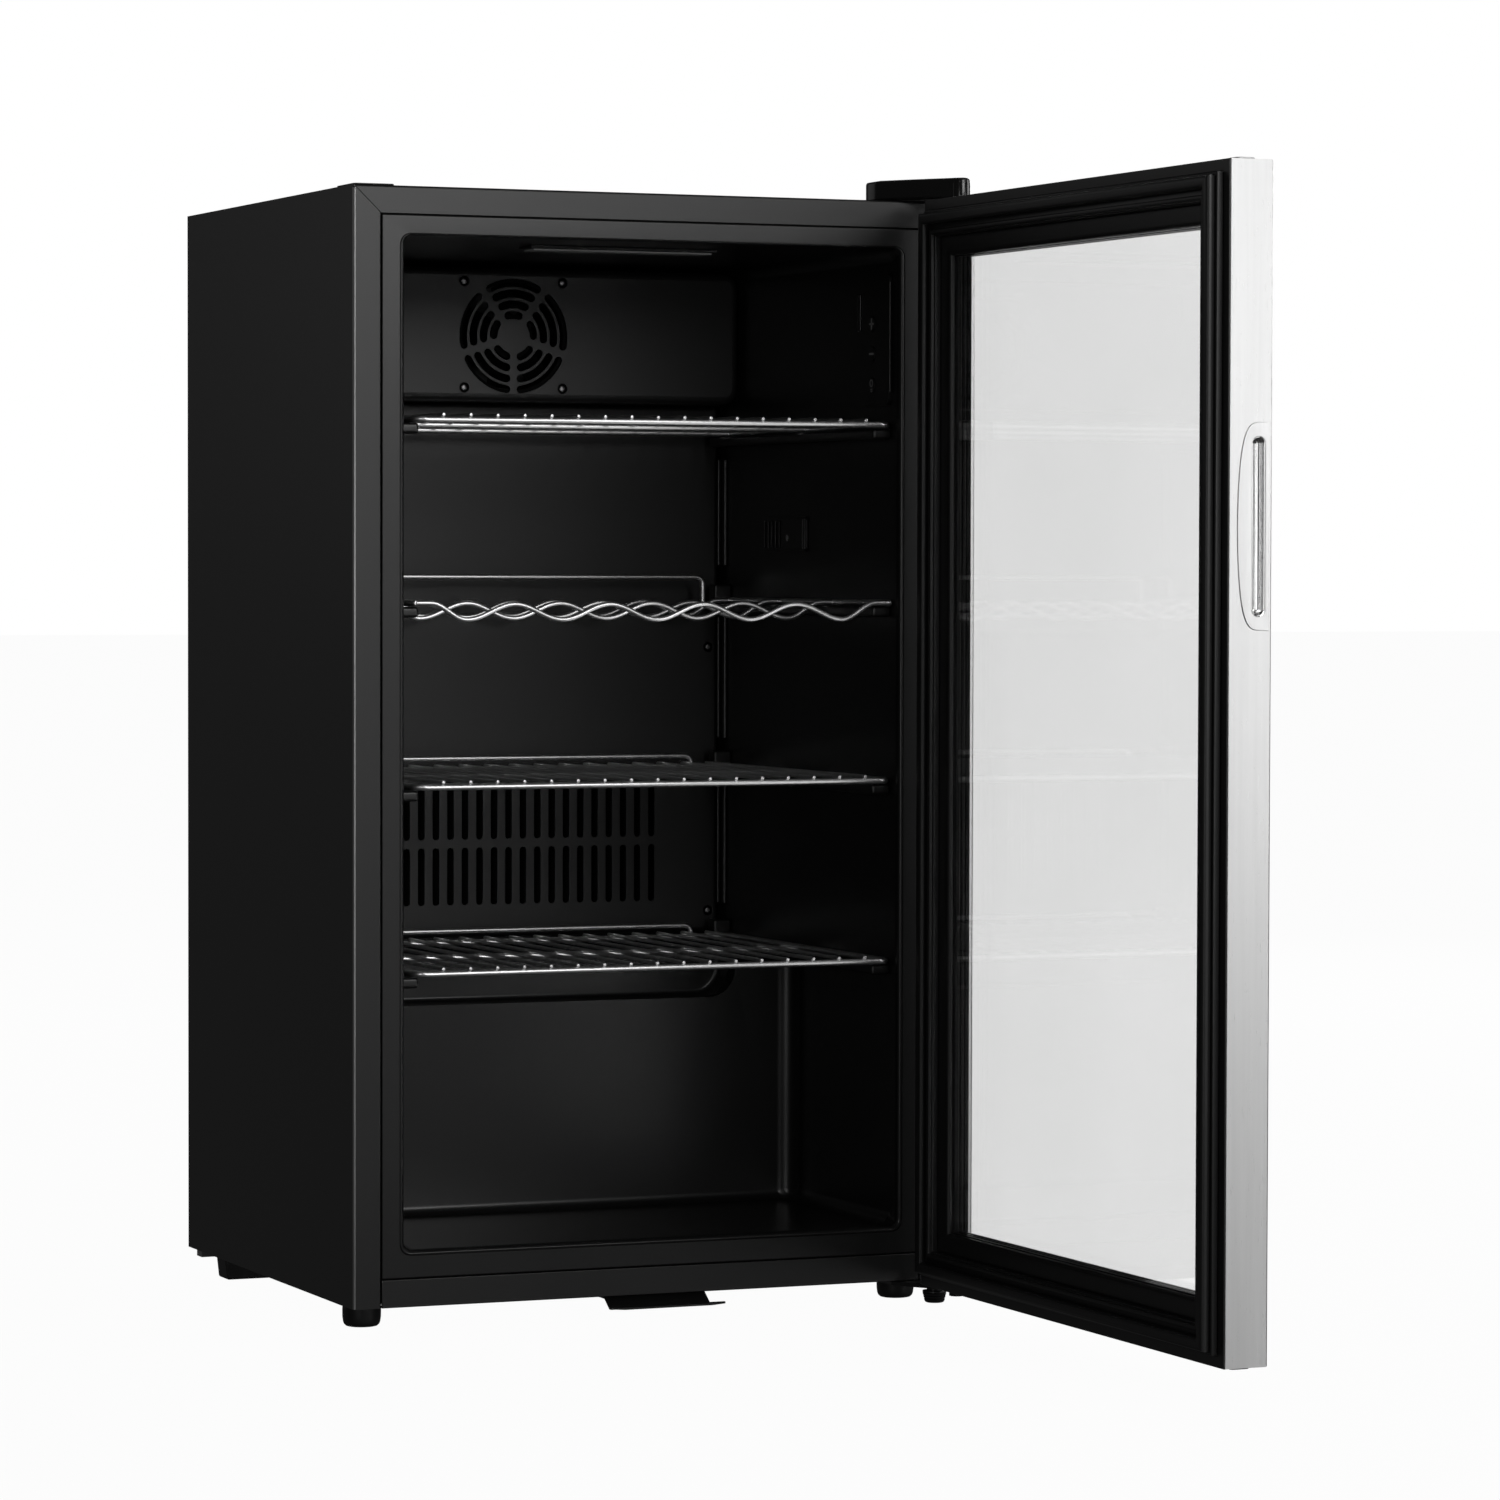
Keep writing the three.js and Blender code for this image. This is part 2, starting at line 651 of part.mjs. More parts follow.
// Serpentine condenser tube behind the rear panel.
function condenserCoil() {
  const low = 268;
  const reach = 180;
  const pieces = [];
  for (let i = 0; i < COIL_RUNS; i += 1) {
    const z = low + i * COIL_PITCH;
    pieces.push(rod([-reach - 1, COIL_Y, z], [reach + 1, COIL_Y, z], COIL_RADIUS, 5));
    if (i < COIL_RUNS - 1) {
      const side = i % 2 ? -1 : 1;
      const centre = [side * reach, COIL_Y, z + COIL_PITCH / 2];
      const bend = new Bend(centre, COIL_PITCH / 2, -90, -90 + side * 180, true);
      pieces.push(wire(bend, COIL_RADIUS, 6, 5));
    }
  }
  return join(pieces);
}

// Louvred cover over the compartment.
function compartmentCover() {
  const reach = WIDTH / 2 - SHEET - GAP;
  const plate = block([-reach, reach], [BACK_PLANE - 1.6, BACK_PLANE], [PLATE_TOP + 1, COVER_SPLIT_Z]);
  const through = [BACK_PLANE - 3, BACK_PLANE + 1];
  const gland = rod([-200, 390, 40], [-200, 420, 40], 7.4, 12);
  return cut(plate, [
    ...slotRow(13, 26, 3, [70, 120], through),
    ...slotRow(13, 26, 3, [134, 184], through),
    gland,
  ]);
}

// Strain-relief bush where the mains lead enters.
function cordGland() {
  const parts = [
    rod([-200, 400, 40], [-200, 412, 40], 7, 12),
    rod([-200, BACK_PLANE + GAP, 40], [-200, BACK_PLANE + 3, 40], 11, 12),
    rod([-200, 408, 40], [-200, 417, 40], 6, 12),
  ];
  return join(parts).subtract(rod([-200, 404, 40], [-200, 420, 40], 3.6, 12));
}

// ---------------------------------------------------------------- hinges and underside
// Plan of a hinge arm: a block on the cabinet that narrows forward to a round end at the pin.
function hingePlan(left, front, rear, inset, endRadius) {
  return outline([
    [left + inset, rear - inset],
    [left + inset, front + inset * 0.6],
    ...arcPoints(PIN_X, PIN_Y, endRadius - inset, 227, 360, 6),
    [PIN_X + endRadius - inset, rear - inset],
  ]);
}

const HINGE_END = 7.1;
const HINGE_LOW = HEIGHT + GAP;
const TOP_HINGE = [188, 14, 40]; // left, front, rear of the block

function topHingeBracket() {
  const plate = raise(hingePlan(...TOP_HINGE, 2.4, HINGE_END), HINGE_LOW, HINGE_LOW + 2.5);
  const pin = rod([PIN_X, PIN_Y, DOOR_TOP - 14], [PIN_X, PIN_Y, HINGE_LOW + 1], PIN_RADIUS, 12);
  const screws = [[198, 30], [218, 30], [224, 8]].map(([x, y]) =>
    rod([x, y, HINGE_LOW + 2], [x, y, HINGE_LOW + 6], 5, 10),
  );
  return join([plate, pin, ...screws]);
}

function topHingeCover() {
  const top = HEIGHT + 16;
  const skin = raise(hingePlan(...TOP_HINGE, 0, HINGE_END), HINGE_LOW, top);
  return skin.subtract(raise(hingePlan(...TOP_HINGE, 1.6, HINGE_END), HINGE_LOW - 1, top - 1.6));
}

function bottomHingeBracket() {
  const plate = raise(hingePlan(196, 2, 26, 0, HINGE_END), -GAP - 3, -GAP);
  const pin = rod([PIN_X, PIN_Y, -2], [PIN_X, PIN_Y, DOOR_BOTTOM + 13], PIN_RADIUS, 12);
  const head = rod([PIN_X, PIN_Y, -8], [PIN_X, PIN_Y, -2], 6, 10);
  return join([plate, pin, head]);
}

// Small foot under the lower hinge that keeps the open door from tipping the case.
function hingeSupportFoot() {
  const profile = [[0, -16.5], [8, -16.5], [9.5, -14.5], [9.5, -8], [6, -7], [6, -3.6], [0, -3.6]];
  return turned(profile, [228, -8], 14);
}

// Catch plate below the front rail.
function catchPlate() {
  const strap = across(
    outline([[22, -0.3], [2, -0.3], [-8, -7], [-12, -7], [-12, -8.5], [-8.6, -8.5], [1.4, -1.8], [22, -1.8]]),
    -41,
    41,
  );
  const lip = raise(
    outline([[-41, -8], [-37, -12], [-31, -16], [40, -16], [53, -10], [53, -8]]),
    -8.5,
    -7,
  );
  return strap.add(lip);
}

// Screw-in levelling foot.
function levellingFoot(x) {
  const profile = [
    [0, FOOT_BOTTOM], [11.5, FOOT_BOTTOM], [13.5, -16], [14.5, -9], [14.5, -3], [13, -1.5],
    [STEM_RADIUS, -1.5], [STEM_RADIUS, 12], [0, 12],
  ];
  return turned(profile, [x, FRONT_FEET_Y], 16);
}

function rearFoot(side) {
  const x = (u) => side * u;
  const points = [[x(194), -GAP], [x(196), FOOT_BOTTOM], [x(232), FOOT_BOTTOM], [x(234), -GAP]];
  return push(outline(side > 0 ? points : points.reverse()), 330, 354);
}

// ---------------------------------------------------------------- shelves
// Frame wire round the shelf, with rounded front corners, at height z.
function shelfFrame(z) {
  const x = SHELF_HALF_WIDTH - FRAME_WIRE;
  const front = SHELF_FRONT + FRAME_WIRE;
  const rear = SHELF_REAR - FRAME_WIRE;
  const corner = 8;
  return [
    rod([-x + corner - 1, front, z], [x - corner + 1, front, z], FRAME_WIRE, 6),
    rod([-x, rear, z], [x, rear, z], FRAME_WIRE, 6),
    rod([-x, front + corner - 1, z], [-x, rear, z], FRAME_WIRE, 6),
    rod([x, front + corner - 1, z], [x, rear, z], FRAME_WIRE, 6),
    wire(new Bend([-x + corner, front + corner, z], corner, 180, 270), FRAME_WIRE, 4),
    wire(new Bend([x - corner, front + corner, z], corner, 270, 360), FRAME_WIRE, 4),
  ];
}

// Raised wire along the back that stops things sliding off.
function rearGuard(low, top, halfLength) {
  const y = SHELF_REAR - FRAME_WIRE;
  return [
    rod([-halfLength, y, top], [halfLength, y, top], 2, 6),
    rod([-halfLength, y, low], [-halfLength, y, top], 2, 6),
    rod([halfLength, y, low], [halfLength, y, top], 2, 6),
  ];
}

function flatShelf(z) {
  const count = 17;
  const rods = Array.from({ length: count }, (_, i) => {
    const x = (i - (count - 1) / 2) * WIRE_PITCH;
    const height = z + FRAME_WIRE + CROSS_WIRE - 0.6;
    return rod([x, SHELF_FRONT - 0.5, height], [x, SHELF_REAR, height], CROSS_WIRE, 6);
  });
  const reach = SHELF_HALF_WIDTH - FRAME_WIRE;
  const middle = rod([-reach, 166, z], [reach, 166, z], FRAME_WIRE, 6);
  return join([...shelfFrame(z), middle, ...rods, ...rearGuard(z, z + 9.5, 157)]);
}

// Height of the waved bottle wire at x: troughs for bottles, level where it meets the frame.
function waveHeight(x) {
  const middle = WINE_SHELF_Z - 6.65;
  const last = 2 * WAVE_PITCH;
  const level = last + 28;
  const reach = Math.abs(x);
  if (reach <= last) return middle - WAVE_HEIGHT * Math.cos((2 * Math.PI * x) / WAVE_PITCH);
  if (reach >= level) return WINE_SHELF_Z;
  const low = middle - WAVE_HEIGHT;
  const share = (1 - Math.cos((Math.PI * (reach - last)) / (level - last))) / 2;
  return low + (WINE_SHELF_Z - low) * share;
}

class WavedWire extends THREE.Curve {
  constructor(reach, depth) {
    super();
    this.reach = reach;
    this.depth = depth;
  }

  getPoint(t, target = new THREE.Vector3()) {
    const x = this.reach * (2 * t - 1);
    return target.set(x, this.depth, waveHeight(x));
  }
}

function wineShelf() {
  const reach = SHELF_HALF_WIDTH - FRAME_WIRE;
  const front = SHELF_FRONT + FRAME_WIRE;
  const rear = SHELF_REAR - FRAME_WIRE;
  const waves = [0, 1, 2, 3].map((i) =>
    wire(new WavedWire(reach, front + ((rear - front) * i) / 3), 2, 32, 6),
  );
  const rails = [-reach, reach].map((x) =>
    rod([x, front - 1, WINE_SHELF_Z], [x, rear + 1, WINE_SHELF_Z], FRAME_WIRE, 6),
  );
  return join([...rails, ...waves, ...rearGuard(waveHeight(167), WINE_SHELF_Z + 19, 167)]);
}

// ---------------------------------------------------------------- door, drawn shut
const DOOR_HALF = WIDTH / 2;
const INNER_DEPTH = 4.3; // thickness of the rear frame's plate
const OUTER_GLASS_Y = [DOOR_REAR - 25, DOOR_REAR - 21];
const INNER_GLASS_Y = [DOOR_REAR - 8.6, DOOR_REAR - 4.6];
const HANDLE_Z = [505, 647];
const HANDLE_REAR = DOOR_REAR - 7.4;
const HANDLE_FRONT = DOOR_REAR - 31.5;
const SLOT_REAR = DOOR_REAR - 18.5;
const SLOT_FRONT = DOOR_REAR - 28.5;
const SLOT_Z = [514.7, 637];
const POCKET_DEPTH = 14;

// The door's outline less a margin on every side, from depth y0 to y1.
function doorSlab(margin, y0, y1) {
  return block(
    [margin - DOOR_HALF, DOOR_HALF - margin],
    [y0, y1],
    [DOOR_BOTTOM + margin, DOOR_TOP - margin],
  );
}

function ring(outerMargin, innerMargin, y0, y1) {
  return doorSlab(outerMargin, y0, y1).subtract(doorSlab(innerMargin, y0 - 1, y1 + 1));
}

// Clearance for the hinge bushes at the top and bottom of the hinge side.
function bushHoles(radius) {
  return [
    rod([PIN_X, PIN_Y, DOOR_TOP - 16], [PIN_X, PIN_Y, DOOR_TOP + 2], radius, 12),
    rod([PIN_X, PIN_Y, DOOR_BOTTOM - 2], [PIN_X, PIN_Y, DOOR_BOTTOM + 16], radius, 12),
  ];
}

const BUSH_RADIUS = 6;

function handleSpace(grow, reach) {
  return block(
    [-DOOR_HALF - 2, reach - DOOR_HALF],
    [SLOT_FRONT - grow, SLOT_REAR + grow],
    [SLOT_Z[0] - grow, SLOT_Z[1] + grow],
  );
}

// Folded stainless face and sides, with a lip turned back to the glass.
function doorOuterFrame() {
  const rear = DOOR_REAR - 1.4;
  const face = cut(doorSlab(0, DOOR_FRONT, rear), [
    doorSlab(DOOR_SKIN, DOOR_FRONT + DOOR_SKIN, rear + 1),
    doorSlab(FACE_WIDTH, DOOR_FRONT - 1, rear + 1),
  ]);
  const lip = ring(FACE_WIDTH - DOOR_SKIN, FACE_WIDTH, DOOR_FRONT, OUTER_GLASS_Y[0] - 0.4);
  return cut(face.add(lip), [...bushHoles(BUSH_RADIUS + 0.4), handleSpace(1.6, 4)]);
}

// Black plastic frame that carries the seal and clamps the glass.
function doorInnerFrame() {
  const plate = ring(DOOR_SKIN + GAP, APERTURE, DOOR_REAR - INNER_DEPTH, DOOR_REAR - 0.5);
  const edge = ring(0, APERTURE, DOOR_REAR - 1.1, DOOR_REAR);
  const body = ring(5, 24.6, DOOR_REAR - 32.7, DOOR_REAR - INNER_DEPTH + 0.5);
  return cut(join([plate, edge, body]), [...bushHoles(BUSH_RADIUS + 0.4), handleSpace(2, POCKET_DEPTH + 2)]);
}

// Magnetic seal: a base, a broad bead that meets the case and a thin lip inside it.
function doorGasket() {
  const low = DOOR_REAR + GAP;
  return join([
    ring(8.6, 29, low, low + 5),
    ring(10.5, 20, low + 4.5, -0.6),
    ring(23.5, 27.5, low + 4.5, low + 7.5),
  ]);
}

function glassPane(margin, [y0, y1]) {
  return doorSlab(margin, y0, y1);
}

function glassSpacer() {
  return ring(37, 44.4, OUTER_GLASS_Y[1] + 0.2, INNER_GLASS_Y[0] - 0.2);
}

// Recessed finger grip in the door's free edge: a D-shaped rim round a deep slot.
function handleCup() {
  const face = -DOOR_HALF - 0.8;
  const centreZ = (HANDLE_Z[0] + HANDLE_Z[1]) / 2;
  const halfHeight = (HANDLE_Z[1] - HANDLE_Z[0]) / 2;
  const bulge = HANDLE_REAR - HANDLE_FRONT;
  const sweep = Array.from({ length: 13 }, (_, i) => {
    const angle = (Math.PI * i) / 12;
    const lift = Math.sin(angle) ** 0.5;
    return [HANDLE_FRONT + bulge * lift, centreZ - halfHeight * Math.cos(angle)];
  });
  const rim = across(outline(sweep), face, -DOOR_HALF - 0.1);
  const cup = block(
    [face, POCKET_DEPTH - DOOR_HALF],
    [SLOT_FRONT - 1.2, SLOT_REAR + 1.2],
    [SLOT_Z[0] - 1.2, SLOT_Z[1] + 1.2],
  );
  const pocket = across(
    roundedRectangle([SLOT_FRONT, SLOT_REAR], SLOT_Z, 4.9, 3),
    face - 1,
    POCKET_DEPTH - 1.2 - DOOR_HALF,
  );
  return rim.add(cup).subtract(pocket);
}

function doorPlug(z0, z1) {
  const x = [-DOOR_HALF + 4, -DOOR_HALF + 18];
  return raise(roundedRectangle(x, [DOOR_REAR - 23, DOOR_REAR - 8], 3), z0, z1);
}

function hingeBush(z0, z1) {
  const bore = rod([PIN_X, PIN_Y, z0 - 1], [PIN_X, PIN_Y, z1 + 1], PIN_RADIUS + 0.35, 12);
  return rod([PIN_X, PIN_Y, z0], [PIN_X, PIN_Y, z1], BUSH_RADIUS, 12).subtract(bore);
}

// ---------------------------------------------------------------- assembly
function mesh(name, body, finish) {
  const made = new THREE.Mesh(geometryOf(body), finish);
  made.name = name;
  return made;
}

function shelf(name, body) {
  const made = mesh(name, body, chrome());
  made.position.x = SHELF_SHIFT;
  return made;
}

function cabinetPieces() {
  const pieces = [
    mesh("cabinet_shell", cabinetShell(), blackPaint()),
    mesh("front_rail", frontRail(), blackPaint()),
    mesh("base_pan", basePan(), galvanised()),
    mesh("rear_panel", rearPanel(), blackPaint()),
    mesh("hinge_hole_cap", hingeHoleCap(), blackPlastic()),
    mesh("inner_liner", innerLiner(), blackPlastic()),
    mesh("insulation_foam", insulationFoam(), foam()),
    mesh("evaporator_cover", evaporatorCover(), blackPlastic()),
    mesh("evaporator", evaporator(), aluminium()),
    mesh("fan_housing", fanHousing(), blackPlastic()),
    mesh("fan_frame", fanFrame(), darkPlastic()),
    mesh("lamp_housing", lampHousing(), darkPlastic()),
    mesh("lamp_lens", lampLens(), diffuser()),
    mesh("control_panel", controlPanel(), blackPlastic()),
    mesh("sensor_cover", sensorCover(), blackPlastic()),
    mesh("compartment_panel", compartmentPanel(), galvanised()),
    mesh("compressor_plate", compressorPlate(), galvanised()),
    mesh("compressor", compressor(), blackPaint()),
    mesh("relay_box", relayBox(), blackPlastic()),
    mesh("discharge_pipe", dischargePipe(), copper()),
    mesh("suction_pipe", suctionPipe(), copper()),
    mesh("filter_drier", filterDrier(), copper()),
    mesh("drip_tray", dripTray(), blackPlastic()),
    mesh("drain_hose", drainHose(), rubber()),
    mesh("condenser_coil", condenserCoil(), copper()),
    mesh("compartment_cover", compartmentCover(), blackPaint()),
    mesh("cord_gland", cordGland(), rubber()),
    mesh("top_hinge_bracket", topHingeBracket(), galvanised()),
    mesh("top_hinge_cover", topHingeCover(), blackPlastic()),
    mesh("bottom_hinge_bracket", bottomHingeBracket(), blackPaint()),
    mesh("hinge_support_foot", hingeSupportFoot(), blackPlastic()),
    mesh("catch_plate", catchPlate(), blackPaint()),
    mesh("rear_left_foot", rearFoot(-1), blackPlastic()),
    mesh("rear_right_foot", rearFoot(1), blackPlastic()),
  ];
  [[-60, -42], [60, -42], [-60, 42], [60, 42]].forEach(([dx, dy], i) => {
    pieces.push(mesh(`grommet_${i + 1}`, grommet(dx, dy), rubber()));
  });
  return pieces;
}

function movingPieces() {
  const buttons = Object.entries(BUTTON_Z).map(([name, z]) =>
    mesh(name, panelButton(z), darkPlastic()),
  );
  return [
    mesh("fan_rotor", fanRotor(), darkPlastic()),
    ...buttons,
    shelf("top_shelf", flatShelf(TOP_SHELF_Z)),
    shelf("wine_shelf", wineShelf()),
    shelf("middle_shelf", flatShelf(MIDDLE_SHELF_Z)),
    shelf("bottom_shelf", flatShelf(BOTTOM_SHELF_Z)),
    mesh("front_left_foot", levellingFoot(-FEET_X), blackPlastic()),
    mesh("front_right_foot", levellingFoot(FEET_X), blackPlastic()),
  ];
}

// The door's pieces hang in a group that turns about the hinge pins.
function door() {
  const shut = new THREE.Group();
  shut.position.set(-PIN_X, -PIN_Y, 0);
  shut.add(
    mesh("door_outer_frame", doorOuterFrame(), stainless()),
    mesh("door_inner_frame", doorInnerFrame(), blackPlastic()),
    mesh("door_gasket", doorGasket(), rubber()),
    mesh("outer_glass", glassPane(25.4, OUTER_GLASS_Y), glass()),
    mesh("inner_glass", glassPane(37, INNER_GLASS_Y), glass()),
    mesh("glass_spacer", glassSpacer(), aluminium()),
    mesh("handle_cup", handleCup(), stainless()),
    mesh("door_top_plug", doorPlug(DOOR_TOP + GAP, DOOR_TOP + 1.3), stainless()),
    mesh("door_bottom_plug", doorPlug(DOOR_BOTTOM - 1.3, DOOR_BOTTOM - GAP), blackPlastic()),
    mesh("top_hinge_bush", hingeBush(DOOR_TOP - 14, DOOR_TOP + 0.8), blackPlastic()),
    mesh("bottom_hinge_bush", hingeBush(DOOR_BOTTOM - 0.4, DOOR_BOTTOM + 14), blackPlastic()),
  );
  const swing = new THREE.Group();
  swing.position.set(PIN_X, PIN_Y, 0);
  swing.rotation.z = DOOR_OPEN_ANGLE;
  swing.add(shut);
  return swing;
}

const cabinet = new THREE.Group();
cabinet.position.set(0, -DEPTH / 2, 0);
cabinet.add(...cabinetPieces(), ...movingPieces(), door());

const fridge = new THREE.Group();
fridge.add(cabinet);

export default fridge;
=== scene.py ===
import json
import math

import bmesh
import bpy
from mathutils import Matrix, Vector


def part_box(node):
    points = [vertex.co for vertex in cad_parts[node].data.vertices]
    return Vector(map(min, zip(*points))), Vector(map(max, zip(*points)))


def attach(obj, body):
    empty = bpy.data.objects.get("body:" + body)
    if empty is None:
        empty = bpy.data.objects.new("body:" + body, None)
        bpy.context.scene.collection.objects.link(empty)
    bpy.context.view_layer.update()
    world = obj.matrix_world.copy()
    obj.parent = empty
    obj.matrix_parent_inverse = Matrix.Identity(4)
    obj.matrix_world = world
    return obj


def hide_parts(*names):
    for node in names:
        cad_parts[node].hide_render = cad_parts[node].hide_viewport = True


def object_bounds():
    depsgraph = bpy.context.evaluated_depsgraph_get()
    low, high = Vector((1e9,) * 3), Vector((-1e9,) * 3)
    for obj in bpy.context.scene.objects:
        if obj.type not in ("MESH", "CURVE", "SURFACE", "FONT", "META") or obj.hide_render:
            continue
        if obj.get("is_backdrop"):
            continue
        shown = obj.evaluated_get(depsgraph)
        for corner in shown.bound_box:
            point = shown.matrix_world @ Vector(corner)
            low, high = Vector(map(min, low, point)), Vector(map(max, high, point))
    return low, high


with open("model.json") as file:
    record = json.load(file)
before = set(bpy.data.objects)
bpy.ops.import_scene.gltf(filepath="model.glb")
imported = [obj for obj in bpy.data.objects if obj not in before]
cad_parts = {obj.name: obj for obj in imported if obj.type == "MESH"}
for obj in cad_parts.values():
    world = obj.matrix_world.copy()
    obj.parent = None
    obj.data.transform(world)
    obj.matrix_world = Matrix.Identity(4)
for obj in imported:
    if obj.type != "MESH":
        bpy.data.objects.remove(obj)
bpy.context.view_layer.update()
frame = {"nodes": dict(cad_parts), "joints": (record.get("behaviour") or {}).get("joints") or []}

# ---- frames of reference
# Pieces are drawn in millimetres: x from the cabinet's middle, y as depth behind its front
# plane, z above its underside. CABINET turns that into the row frame. DOOR does the same for
# the door's pieces, which are drawn shut and then swung open about the hinge pin.
MM = 0.001
shell_low, shell_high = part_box("cabinet_shell")
CABINET = Matrix.Translation((0, shell_low.y, 0)) @ Matrix.Scale(MM, 4)
hinge = next(j for j in frame["joints"] if j["name"] == "door_swing")
PIN = Vector(hinge["pos_m"])
SWING = Matrix.Rotation(-math.radians(hinge["range_deg"][0]), 4, "Z")
DOOR = Matrix.Translation(PIN) @ SWING @ Matrix.Translation(-PIN) @ CABINET


def span(node):
    """A cabinet node's extent in drawing millimetres: [(x0, x1), (y0, y1), (z0, z1)]."""
    low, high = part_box(node)
    back = CABINET.inverted()
    return list(zip(back @ low, back @ high))


WIDTH = (shell_high.x - shell_low.x) / MM
HEIGHT = shell_high.z / MM
DEPTH = (shell_high.y - shell_low.y) / MM


# ---- materials
MOTTLE_SCALE = 7.0
RELIEF_DEPTH = 0.0003


def add_node(tree, kind, **sockets):
    node = tree.nodes.new("ShaderNode" + kind)
    for socket, value in sockets.items():
        node.inputs[socket.replace("_", " ")].default_value = value
    return node


def surface(name, colour, roughness, metallic=0.0, grain=1400.0, bump=0.05, mottle=0.12,
            rough_play=0.05, stretch=(1, 1, 1), **sockets):
    """A procedural finish: broad mottling in the colour, fine grain in roughness and relief."""
    mat = bpy.data.materials.new(name)
    mat.use_nodes = True
    tree = mat.node_tree
    bsdf = tree.nodes["Principled BSDF"]
    link = tree.links.new
    coords = add_node(tree, "TexCoord")
    mapping = add_node(tree, "Mapping", Scale=stretch)
    link(coords.outputs["Object"], mapping.inputs["Vector"])
    broad = add_node(tree, "TexNoise", Scale=MOTTLE_SCALE, Detail=3.0)
    link(mapping.outputs["Vector"], broad.inputs["Vector"])
    ramp = add_node(tree, "ValToRGB")
    low, high = ramp.color_ramp.elements
    low.position, high.position = 0.3, 0.7
    low.color = [c * (1 - mottle) for c in colour] + [1]
    high.color = [min(1, c * (1 + mottle)) for c in colour] + [1]
    link(broad.outputs["Fac"], ramp.inputs["Fac"])
    link(ramp.outputs["Color"], bsdf.inputs["Base Color"])
    fine = add_node(tree, "TexNoise", Scale=grain, Detail=2.0)
    link(mapping.outputs["Vector"], fine.inputs["Vector"])
    spread = add_node(tree, "MapRange", To_Min=max(0.0, roughness - rough_play),
                      To_Max=min(1.0, roughness + rough_play))
    link(fine.outputs["Fac"], spread.inputs["Value"])
    link(spread.outputs["Result"], bsdf.inputs["Roughness"])
    relief = add_node(tree, "Bump", Strength=bump, Distance=RELIEF_DEPTH)
    link(fine.outputs["Fac"], relief.inputs["Height"])
    link(relief.outputs["Normal"], bsdf.inputs["Normal"])
    bsdf.inputs["Metallic"].default_value = metallic
    for socket, value in sockets.items():
        bsdf.inputs[socket.replace("_", " ")].default_value = value
    return mat


def grey(value):
    return (value, value, value)


case_paint = surface("case_paint", grey(0.0085), 0.34, grain=900, bump=0.06)
# Brighter metallic paint on the case folds: a painted highlight on the rounded edges.
fold_highlight_paint = surface("fold_highlight_paint", grey(0.36), 0.30, 0.8, grain=900, bump=0.05)
frame_plastic = surface("frame_plastic", grey(0.010), 0.36, grain=1500, bump=0.08)
liner_plastic = surface("liner_plastic", grey(0.0075), 0.30, grain=1300, bump=0.05)
cover_plastic = surface("cover_plastic", grey(0.0085), 0.42, grain=1100, bump=0.10)
dark_plastic = surface("dark_plastic", grey(0.005), 0.5, grain=1500, bump=0.08)
gloss_plastic = surface("gloss_plastic", grey(0.007), 0.16, grain=700, bump=0.02)
foot_plastic = surface("foot_plastic", grey(0.006), 0.45, grain=1500, bump=0.1)
seal_rubber = surface("seal_rubber", grey(0.010), 0.38, grain=1800, bump=0.08)
soft_rubber = surface("soft_rubber", grey(0.012), 0.7, grain=1800, bump=0.15)
symbol_print = surface("symbol_print", grey(0.30), 0.5, grain=2500, bump=0.03)
stainless = surface("stainless", grey(0.70), 0.30, 1.0, grain=60, bump=0.02, mottle=0.03,
                    rough_play=0.06, stretch=(40, 40, 1))
polished = surface("polished", grey(0.80), 0.10, 1.0, grain=500, bump=0.01, mottle=0.04)
chrome = surface("chrome", grey(0.98), 0.36, 1.0, grain=700, bump=0.03, mottle=0.05,
                 rough_play=0.04)
spacer_metal = surface("spacer_metal", grey(0.02), 0.38, 1.0, grain=900, bump=0.06)
zinc_steel = surface("zinc_steel", grey(0.38), 0.42, 1.0, grain=90, bump=0.06, mottle=0.25)
fin_metal = surface("fin_metal", grey(0.012), 0.6, 0.3, grain=400, bump=0.05)
screw_steel = surface("screw_steel", grey(0.35), 0.32, 1.0, grain=900, bump=0.04)
rotor_plastic = surface("rotor_plastic", grey(0.002), 0.7, grain=1500, bump=0.05,
                        Specular_IOR_Level=0.08)
copper = surface("copper", (0.62, 0.26, 0.13), 0.3, 1.0, grain=500, bump=0.04, mottle=0.2)
foam = surface("foam", grey(0.01), 0.95, grain=600, bump=0.3, mottle=0.2,
               Specular_IOR_Level=0.05)
# Near-black matt finish for the sheet behind the vent slots: painted shade.
slot_shade_black = surface("slot_shade_black", grey(0.002), 0.9, grain=1500, bump=0.05,
                     Specular_IOR_Level=0.1)
diffuser = surface("diffuser", grey(0.35), 0.45, grain=1500, bump=0.05)
glass = surface("clear_glass", (0.99, 0.992, 0.99), 0.02, grain=40, bump=0.0, mottle=0.01,
                rough_play=0.015, Transmission_Weight=1.0, IOR=1.36)


# ---- making pieces
SMOOTH = 40.0  # faces that meet at less than this angle are shaded as one
SCREW_HOLE = 4.1
SCREW_HEAD = 2.4
WIRE_SIDES = 14
TURNED_SMOOTH = 35.0
REFINED_EDGE = 35.0  # a CAD node's edges are rounded where they turn by more, in degrees


def settle(obj, body="cabinet", nodes=()):
    """Puts a piece on its body, in place of CAD nodes if any."""
    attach(obj, body)
    if nodes:
        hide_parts(*nodes)
    return obj


def add_object(name, data):
    obj = bpy.data.objects.new(name, data)
    bpy.context.scene.collection.objects.link(obj)
    return obj


def hand(side):
    return "left" if side < 0 else "right"


